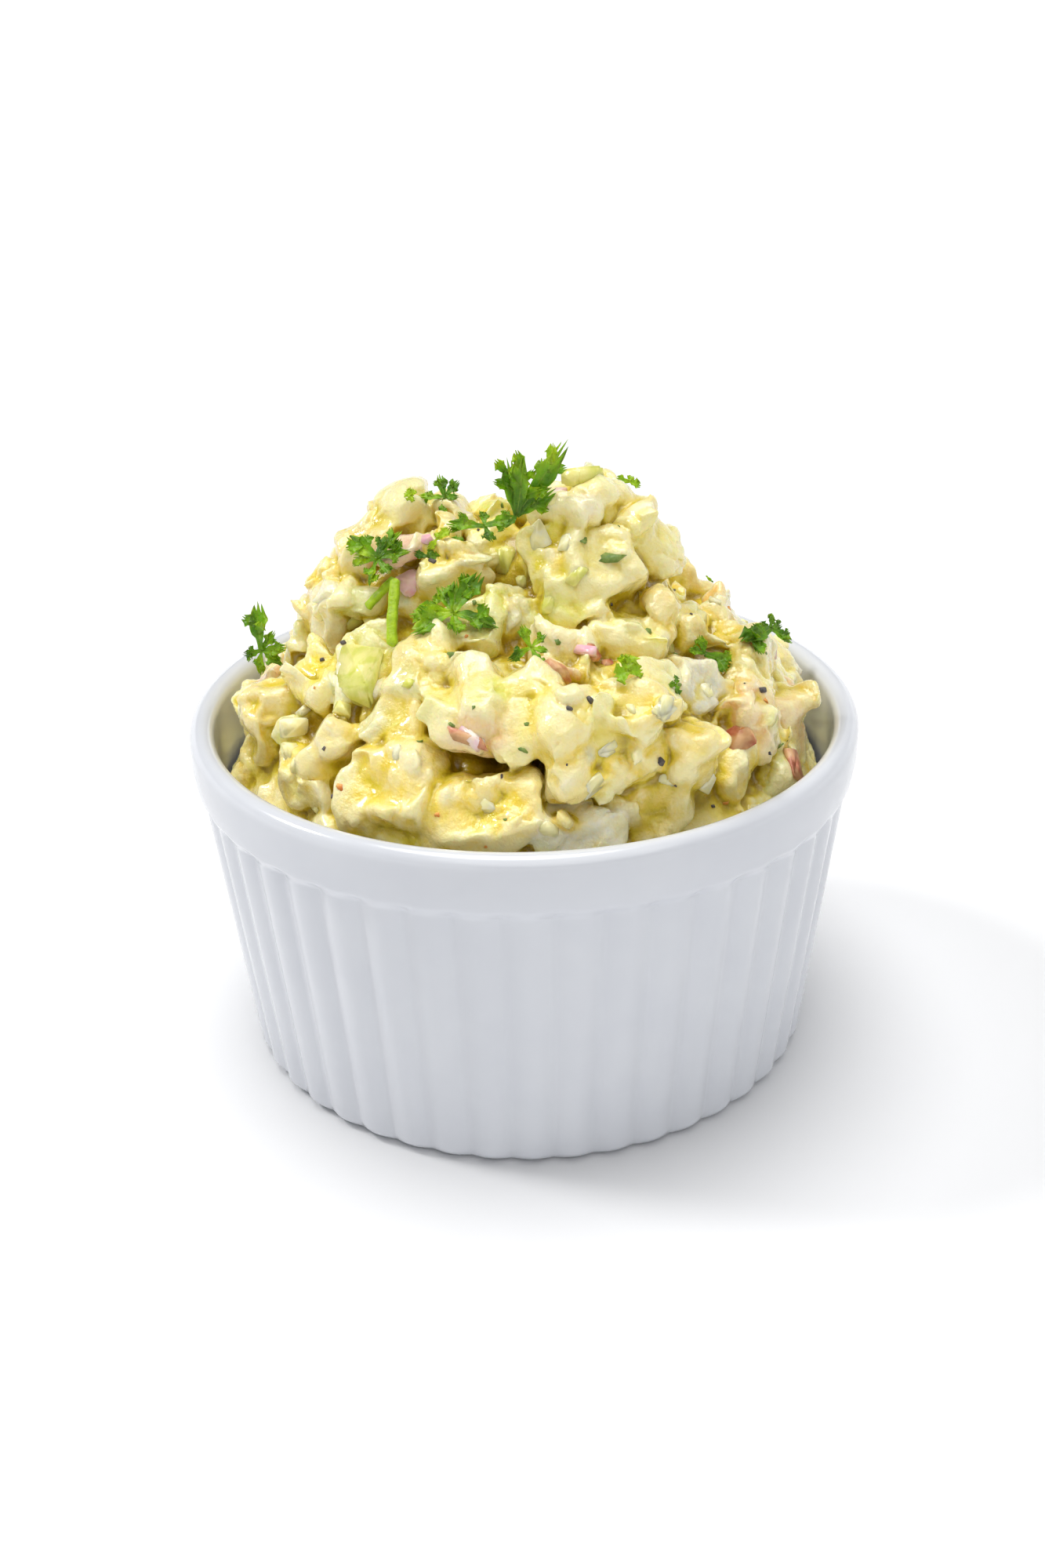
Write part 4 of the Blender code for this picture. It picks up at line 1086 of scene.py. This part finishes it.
def make_salad(material, pieces, leaves):
    """Builds the heap: core, rounded blocks and chopped lumps melted into one skin, then grained."""
    template, template_quads = cube_template(BLOCK_STEPS)
    rng = random.Random(SEED + 2)
    parts = [core_arrays()]
    for index, (matrix, half, corners, _) in enumerate(pieces):
        power = rng.uniform(*BLOCK_POWER) if half.min() > 2.2 * MM else CRUMB_POWER
        parts.append((block_points(template, matrix, half, corners, power, index), template_quads))
    points, quads = joined(parts)
    tree = BVHTree.FromPolygons(points.tolist(), quads.tolist())
    lump_parts, lumps = chopped_lumps(tree, rng)
    triangles = np.concatenate([quads[:, [0, 1, 2]], quads[:, [0, 2, 3]]])
    skin = melted_skin([(points, triangles)] + lump_parts)
    source = read_points(skin)
    write_points(skin, source + warp_shift(source))
    write_points(skin, read_points(skin) + read_normals(skin) * skin_relief(source)[:, None])
    place = read_points(skin)
    write_points(skin, place + seat_shift(skin, place, leaves))
    paint_salad(skin, source, pieces + lumps)
    kept = SALAD_TRIANGLES / (len(skin.polygons) * 2)
    lighter = applied_mesh(skin, ("DECIMATE", {"ratio": kept}))
    bpy.data.meshes.remove(skin)
    lighter.shade_smooth()
    return add_piece("salad", lighter, material, "dressed_potato", "potato_salad")


def lobed_outline(lobes):
    """Returns a leaf's outline as (angle, length) pairs: a notch, a shoulder, a tip, a shoulder."""
    ordered = sorted(lobes)
    outline = []
    for index, (angle, length) in enumerate(ordered):
        before_angle, before_length = ordered[index - 1]
        gap = (angle - before_angle) % 360.0
        after_angle = ordered[(index + 1) % len(ordered)][0]
        next_gap = (after_angle - angle) % 360.0
        notch = min(length, before_length) * (WIDE_NOTCH if gap > 45.0 else NARROW_NOTCH)
        outline.append((angle - gap / 2.0, notch))
        outline.append((angle - min(gap * 0.36, 20.0), length * LOBE_SHOULDER))
        outline.append((angle, length))
        outline.append((angle + min(next_gap * 0.36, 20.0), length * LOBE_SHOULDER))
    return outline


def strip_outline(length, width):
    """Returns the outline of a small cut piece, longer than it is wide."""
    across = width / 2.0 * 0.8
    along = length / 2.0 * 0.85
    corner = math.degrees(math.atan2(across, along))
    reach = math.hypot(across, along)
    return [(start + angle, away) for start in (0.0, 180.0) for angle, away in (
        (0.0, length / 2.0), (corner, reach), (90.0, width / 2.0), (180.0 - corner, reach))]


def facing_basis(facing, turn):
    """Returns a leaf's own right, up and outward axes from the way that its face looks."""
    outward = direction(*facing)
    right = Vector((0.0, 0.0, 1.0)).cross(outward).normalized()
    basis = Matrix((right, outward.cross(right), outward)).transposed()
    return basis @ Matrix.Rotation(math.radians(turn), 3, "Z")


def settled_place(name, outline, curl, rings, basis, place):
    """Returns where a leaf lies once lifted clear: its outline at place, moved to its solid's box."""
    points = [Vector((0.0, 0.0, 0.0))]
    for ring in range(1, rings + 1):
        share = ring / rings
        for index, (angle, length) in enumerate(outline):
            turn = math.radians(angle)
            reach = length * share
            wave = LEAF_WAVE * curl * share * math.sin(index * math.tau * LEAF_WAVES / len(outline))
            rise = wave - LEAF_DROOP * curl * reach * reach
            points.append(Vector((reach * math.cos(turn), reach * math.sin(turn), rise)))
    half = Vector((0.0, 0.0, LEAF_THICKNESS / 2.0))
    flat = np.array([basis @ (point + side) * MM + place for point in points for side in (-half, half)])
    low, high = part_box(name)
    middle = (np.array(low) + np.array(high)) / 2.0
    return place + Vector(middle - (flat.min(0) + flat.max(0)) / 2.0)


def finger_arrays(length, width, bend, twist, rng):
    """Returns a leaf's lobe from the origin along X in mm: points, triangles and rib strength."""
    rows = 16
    columns = 13
    share = np.repeat(np.linspace(0.0, 1.0, rows), columns)
    side = np.tile(np.linspace(-1.0, 1.0, columns), rows)
    swell = 0.3 + 0.7 * np.clip(share / 0.7, 0.0, 1.0) ** 1.3
    taper = 1.0 - 0.45 * np.clip((share - 0.72) / 0.28, 0.0, 1.0) ** 1.5
    phase = share * rng.uniform(2.2, 3.2) + rng.uniform(0.0, 1.0) + (side > 0.0) * rng.uniform(0.2, 0.8)
    teeth = 1.0 + 0.34 * (1.0 - phase % 1.0) * np.clip(share * 3.0, 0.0, 1.0) * np.abs(side) ** 2
    across = side * width * swell * taper * teeth
    skew = rng.uniform(-0.12, 0.12)
    ending = 1.0 - 0.13 * (1.0 - np.cos(math.tau * (side + skew) / 0.667)) - 0.14 * side ** 2
    along = share * length * (1.0 + (ending - 1.0) * np.clip((share - 0.45) / 0.55, 0.0, 1.0))
    turn = twist * share + rng.uniform(-0.3, 0.3)
    fold = 0.3 * np.abs(across) + 0.13 * side ** 2 * np.sin(phase * math.tau)
    sway = 0.1 * length * rng.uniform(-1.0, 1.0) * share ** 2
    middle = np.stack([along, across * np.cos(turn) - fold * np.sin(turn) + sway,
                       across * np.sin(turn) + fold * np.cos(turn) + bend * length * share ** 2], -1)
    vein = np.abs((share * 5.0 - np.abs(side) * 0.9) % 1.0 - 0.5) * 2.0
    rib = np.maximum(np.clip(1.0 - np.abs(side) / 0.17, 0.0, 1.0) * (1.0 - 0.4 * share),
                     0.4 * np.clip((vein - 0.75) / 0.25, 0.0, 1.0))
    thin = BLADE_THICKNESS * (0.5 - 0.32 * np.maximum(np.abs(side), share) ** 4)[:, None]
    points = np.concatenate([middle + [0, 0, 1] * thin, middle - [0, 0, 1] * thin])
    row, column = np.meshgrid(np.arange(rows - 1), np.arange(columns - 1), indexing="ij")
    low = (row * columns + column).ravel()
    top = np.concatenate([np.stack([low, low + columns, low + columns + 1], -1),
                          np.stack([low, low + columns + 1, low + 1], -1)])
    ring = ([(index, 0) for index in range(rows)] + [(rows - 1, index) for index in range(1, columns)]
            + [(index, columns - 1) for index in range(rows - 2, -1, -1)]
            + [(0, index) for index in range(columns - 2, 0, -1)])
    ring = np.array([first * columns + second for first, second in ring])
    after = np.roll(ring, -1)
    under = len(middle)
    edges = np.concatenate([np.stack([ring, ring + under, after + under], -1),
                            np.stack([ring, after + under, after], -1)])
    return points, np.concatenate([top[:, ::-1], top + under, edges]), np.tile(rib, 2)


def leaf_arrays(lobes, curl, seed, width_share=0.2):
    """Returns the points, triangles and rib strength of a parsley leaf: a fan of lobes with side lobes."""
    rng = random.Random(seed)
    parts = []
    for angle, length in lobes:
        width = min(1.25, max(0.45, length * width_share * rng.uniform(0.75, 1.2)))
        bend = rng.uniform(-0.16, 0.1) - 0.1 * curl
        tilt = rng.uniform(-0.2, 0.25)
        lobe = finger_arrays(length, width, bend, rng.uniform(-0.7, 0.7), rng)
        parts.append((lobe, angle, tilt, (0.0, 0.0, 0.0)))
        starts = [0.36, 0.5] if length < 6.6 else [0.3, 0.42, 0.56, 0.68]
        for index, place in enumerate(starts):
            if length < 2.4:
                continue
            start = length * (place + rng.uniform(-0.04, 0.04))
            side = 1 if index % 2 else -1
            twig = finger_arrays(min(length, 7.0) * rng.uniform(0.34, 0.48), width * rng.uniform(0.55, 0.75),
                                 rng.uniform(-0.25, 0.3), rng.uniform(-0.9, 0.9), rng)
            lift = bend * length * (start / length) ** 2 + start * math.sin(tilt)
            root = (start * math.cos(math.radians(angle)), start * math.sin(math.radians(angle)), lift)
            parts.append((twig, angle + side * rng.uniform(34.0, 56.0), rng.uniform(-0.3, 0.5), root))
    placed = []
    for (points, faces, _), angle, tilt, root in parts:
        turn = Matrix.Rotation(math.radians(angle), 3, "Z") @ Matrix.Rotation(-tilt, 3, "Y")
        placed.append((points @ np.array(turn).T + np.array(root), faces))
    return *joined(placed), np.concatenate([lobe[2] for lobe, _, _, _ in parts])


def leaf_colors(points, rib, lightness, seed):
    """Colours a leaf from dark green to lime, paler on its ribs."""
    tone = lattice_noise(points, 2.2, seed + 5) * 0.5 + lattice_noise(points, 1.0, seed + 6) * 0.25
    level = np.clip(lightness + 0.1 + tone * 0.9, 0.0, 1.0)[:, None]
    dark, mid, lime = (np.array(color) for color in (DARK_GREEN, MID_GREEN, LIME_GREEN))
    color = np.where(level < 0.5, dark + (mid - dark) * level * 2.0, mid + (lime - mid) * (level * 2.0 - 1.0))
    return color + (np.array(RIB_GREEN) - color) * (rib * 0.6)[:, None]


def add_leaf(name, points, faces, colors, basis, place, material):
    """Places a leaf mesh given in mm in its own axes, with its colours."""
    mesh = mesh_from_arrays(name + "_blade", points @ np.array(basis).T * MM + np.array(place), faces)
    paint_points(mesh, "tint", colors)
    return add_piece(name + "_leaf", mesh, material, "parsley", name)


def stem_arrays(length, width, seed):
    """Returns the points, triangles and ridge strength of a short grooved stem, in mm in its own axes."""
    rows = 26
    columns = 16
    turns = np.arange(columns) * math.tau / columns
    points = []
    ridge = []
    for row in range(rows):
        share = row / (rows - 1)
        end = min(1.0, math.sqrt(max(0.0, 1.0 - abs(share * 2.0 - 1.0) ** 9)) + 0.25)
        groove = 1.0 - 0.16 * np.cos(turns * 2.0) ** 4 + 0.05 * math.sin(share * 19.0 + seed)
        across = width / 2.0 * end * groove * np.cos(turns)
        out = width * 0.36 * end * groove * np.sin(turns)
        bend = 0.35 * math.sin(share * math.pi) + 0.1 * math.sin(share * 7.0 + seed)
        along = np.full(columns, (share - 0.5) * length)
        points.append(np.stack([along, across + bend * 0.4, out + bend * 0.5], -1))
        ridge.append(0.5 + 0.5 * np.cos(turns * 4.0))
    points.append(np.array([[-0.5 * length, 0.0, 0.0], [0.5 * length, 0.0, 0.0]]))
    points = np.concatenate(points)
    quads = ring_quads(rows, columns)
    column = np.arange(columns)
    after = (column + 1) % columns
    last = (rows - 1) * columns
    first_end = np.stack([np.full(columns, rows * columns), column, after], -1)
    last_end = np.stack([np.full(columns, rows * columns + 1), last + after, last + column], -1)
    faces = np.concatenate([quads[:, [0, 3, 2]], quads[:, [0, 2, 1]], first_end, last_end])
    return points, faces, np.concatenate(ridge + [np.ones(2)])


def make_parsley(material):
    """Builds every leaf and stem where its solid lies, and returns them."""
    leaves = []

    def place_leaf(name, place, outline, curl, rings, basis, arrays, lightness, seed):
        points, faces, rib = arrays
        spot = settled_place(name, outline, curl, rings, basis, Vector(place) * MM)
        colors = leaf_colors(points, rib, lightness, seed)
        leaves.append(add_leaf(name, points, faces, colors, basis, spot, material))

    for index, (name, place, facing, curl, lobes, lightness) in enumerate(BIG_LEAVES):
        arrays = leaf_arrays(lobes, curl, index + 20)
        place_leaf(name, place, lobed_outline(lobes), curl, 2, facing_basis(facing, 0.0), arrays,
                   lightness, index)
    for index, (name, place, facing, turn, length, width, lightness, kind) in enumerate(SMALL_LEAVES):
        if kind == "stem":
            arrays = stem_arrays(length, width, index)
        else:
            lobes = ((0, length / 2.0), (180, length / 2.0), (75, width * 0.8))
            arrays = leaf_arrays(lobes, 0.3, index + 50, width / length * 0.8)
        place_leaf(name, place, strip_outline(length, width), 0.3, 1, facing_basis(facing, turn), arrays,
                   lightness, index + 30)
    return leaves


def smoothed_bit(size, rng, edge):
    """Returns the points and triangles of a chopped lump with softened edges."""
    points, triangles = chopped_bit(size, rng)
    work = bmesh.new()
    verts = [work.verts.new(point) for point in points]
    for triangle in triangles:
        work.faces.new([verts[index] for index in triangle])
    bmesh.ops.dissolve_limit(work, angle_limit=math.radians(14.0), verts=work.verts, edges=work.edges)
    bmesh.ops.bevel(work, geom=list(work.edges), offset=edge, segments=2, affect="EDGES", clamp_overlap=True)
    bmesh.ops.triangulate(work, faces=work.faces)
    return bmesh_arrays(work)


def scatter_piece(name, material, slot, spots, shape, sink):
    """Joins many small things of one kind into one piece; each spot is (point, normal, size in mm)."""
    rng = random.Random(name)
    parts = []
    for point, normal, size in spots:
        away = (normal + Vector([rng.uniform(-0.35, 0.35) for _ in range(3)])).normalized()
        dims = np.array(size) * MM
        matrix = standing_matrix(point + normal * dims[2] * sink, away, rng.uniform(0.0, math.tau))
        points, faces = shape(dims, rng)
        parts.append((moved(points, matrix), faces))
    return add_piece(name, mesh_from_arrays(name + "_mesh", *joined(parts)), material, slot)


def flake_shape(size, rng):
    """Returns a thin, bent, uneven flake."""
    count = 7
    middle = [np.array([0.0, 0.0, 0.12 * size[2]])]
    for index in range(count):
        turn = math.tau * (index + rng.uniform(-0.3, 0.3)) / count
        reach = rng.uniform(0.55, 1.0) / 2.0
        middle.append(np.array([size[0] * reach * math.cos(turn), size[1] * reach * math.sin(turn),
                                size[2] * rng.uniform(-0.5, 0.5)]))
    middle = np.array(middle)
    thin = np.array([0.0, 0.0, 0.05 * MM])
    points = np.concatenate([middle + thin, middle - thin])
    triangles = []
    for index in range(count):
        a = 1 + index
        b = 1 + (index + 1) % count
        under = count + 1
        triangles += [(0, a, b), (under, under + b, under + a), (a, under + a, under + b), (a, under + b, b)]
    return points, np.array(triangles)


def chip_shape(size, rng):
    """Returns a small cut lump with softened edges."""
    return smoothed_bit(size, rng, 0.09 * min(size))


def make_bits(tree):
    """Scatters the small things: where the photograph shows one, and over the rest of the heap."""
    camera = bpy.context.scene.camera
    turn = camera.matrix_world.to_3x3()
    eye = camera.matrix_world.translation

    def seen(x, y, size):
        across = (x - IMAGE_WIDTH / 2) / CAMERA_FOCAL_PIXELS
        up = (IMAGE_HEIGHT / 2 - y) / CAMERA_FOCAL_PIXELS
        way = turn @ Vector((across, up, -1.0))
        point, normal, _, _ = tree.ray_cast(eye, way.normalized())
        if point is None:
            return None
        return point, normal if normal.dot(way) < 0.0 else -normal, size

    def spread(rng, count, low, high, thin):
        spots = []
        for point, normal in surface_spots(tree, count, rng, 2.0):
            width = rng.uniform(low, high)
            spots.append((point, normal, (width, width * rng.uniform(0.6, 1.0), width * thin)))
        return spots

    rng = random.Random(SEED + 3)
    for name, slot, shape, material, places, count, low, high, thin, sink in BIT_KINDS:
        spots = [seen(*place) for place in places]
        spots = [spot for spot in spots if spot is not None] + spread(rng, count, low, high, thin)
        make = chip_shape if shape == "chip" else flake_shape
        scatter_piece(name, bit_material(material, *BIT_MATERIALS[material]), slot, spots, make, sink)


def make_camera():
    """Sets the camera where the photograph was taken from."""
    data = bpy.data.cameras.new("camera")
    data.sensor_width = 36.0
    data.lens = 36.0 * CAMERA_FOCAL_PIXELS / IMAGE_HEIGHT
    data.clip_start = 0.01
    camera = link_object("camera", data)
    tilt = Matrix.Rotation(math.radians(90.0 - CAMERA_PITCH), 4, "X")
    roll = Matrix.Rotation(math.radians(CAMERA_ROLL), 4, "Z")
    camera.matrix_world = Matrix.Translation(Vector(CAMERA_EYE) * MM) @ tilt @ roll
    bpy.context.scene.camera = camera


def add_sun(name, toward, strength, spread, color=(1.0, 1.0, 1.0)):
    """Adds a wide, soft light that comes from a direction, even over the whole floor."""
    data = bpy.data.lights.new(name, "SUN")
    data.energy = strength
    data.angle = math.radians(spread)
    data.color = color
    link_object(name, data).rotation_euler = Vector(toward).to_track_quat("Z", "Y").to_euler()


def make_studio():
    """Adds the pale floor, four wide lights and a faint light from all around."""
    floor_material, tree, shader = new_material("floor", 0.7, (0.85, 0.855, 0.87))
    tone = ramp_node(tree, noise_node(tree, 6.0, 2.0), (0.84, 0.845, 0.86), (0.855, 0.86, 0.875))
    feed(tree, shader.inputs["Base Color"], tone)
    mesh = bpy.data.meshes.new("floor")
    turns = np.arange(FLOOR_SIDES) * math.tau / FLOOR_SIDES
    edge = ring_points(turns, FLOOR_RADIUS, 0.0)
    corners = np.concatenate([edge, ring_points(turns, SWEEP_RADIUS, SWEEP_HEIGHT)])
    mesh.from_pydata(corners.tolist(), [], [list(range(FLOOR_SIDES))] + ring_quads(2, FLOOR_SIDES).tolist())
    mesh.materials.append(floor_material)
    floor = link_object("floor", mesh)
    world = bpy.data.worlds.new("studio")
    world.use_nodes = True
    world.node_tree.nodes["Background"].inputs["Color"].default_value = (0.92, 0.95, 1.0, 1.0)
    world.node_tree.nodes["Background"].inputs["Strength"].default_value = 0.06
    bpy.context.scene.world = world
    add_sun("overhead", (-0.07, 0.14, 1.0), 2.0, 36.0, (1.0, 0.995, 0.98))
    add_sun("window", (-0.85, 0.2, 0.9), 1.15, 12.0, (1.0, 0.995, 0.98))
    add_sun("room", (0.15, -0.6, 1.0), 0.95, 60.0, (1.0, 0.99, 0.97))
    add_sun("far_window", (0.8, 0.6, 0.7), 0.45, 70.0, (0.98, 0.99, 1.0))
    view = bpy.context.scene.view_settings
    view.view_transform = "Standard"
    view.look = "None"
    view.exposure = 0.0
    view.gamma = 1.0


make_camera()
make_studio()
pieces = salad_pieces()
make_dish(glaze_material())
leaves = make_parsley(parsley_material())
salad = make_salad(salad_material(), pieces, leaves)
salad_tree = BVHTree.FromPolygons([vert.co for vert in salad.data.vertices],
                                  [face.vertices for face in salad.data.polygons])
make_bits(salad_tree)
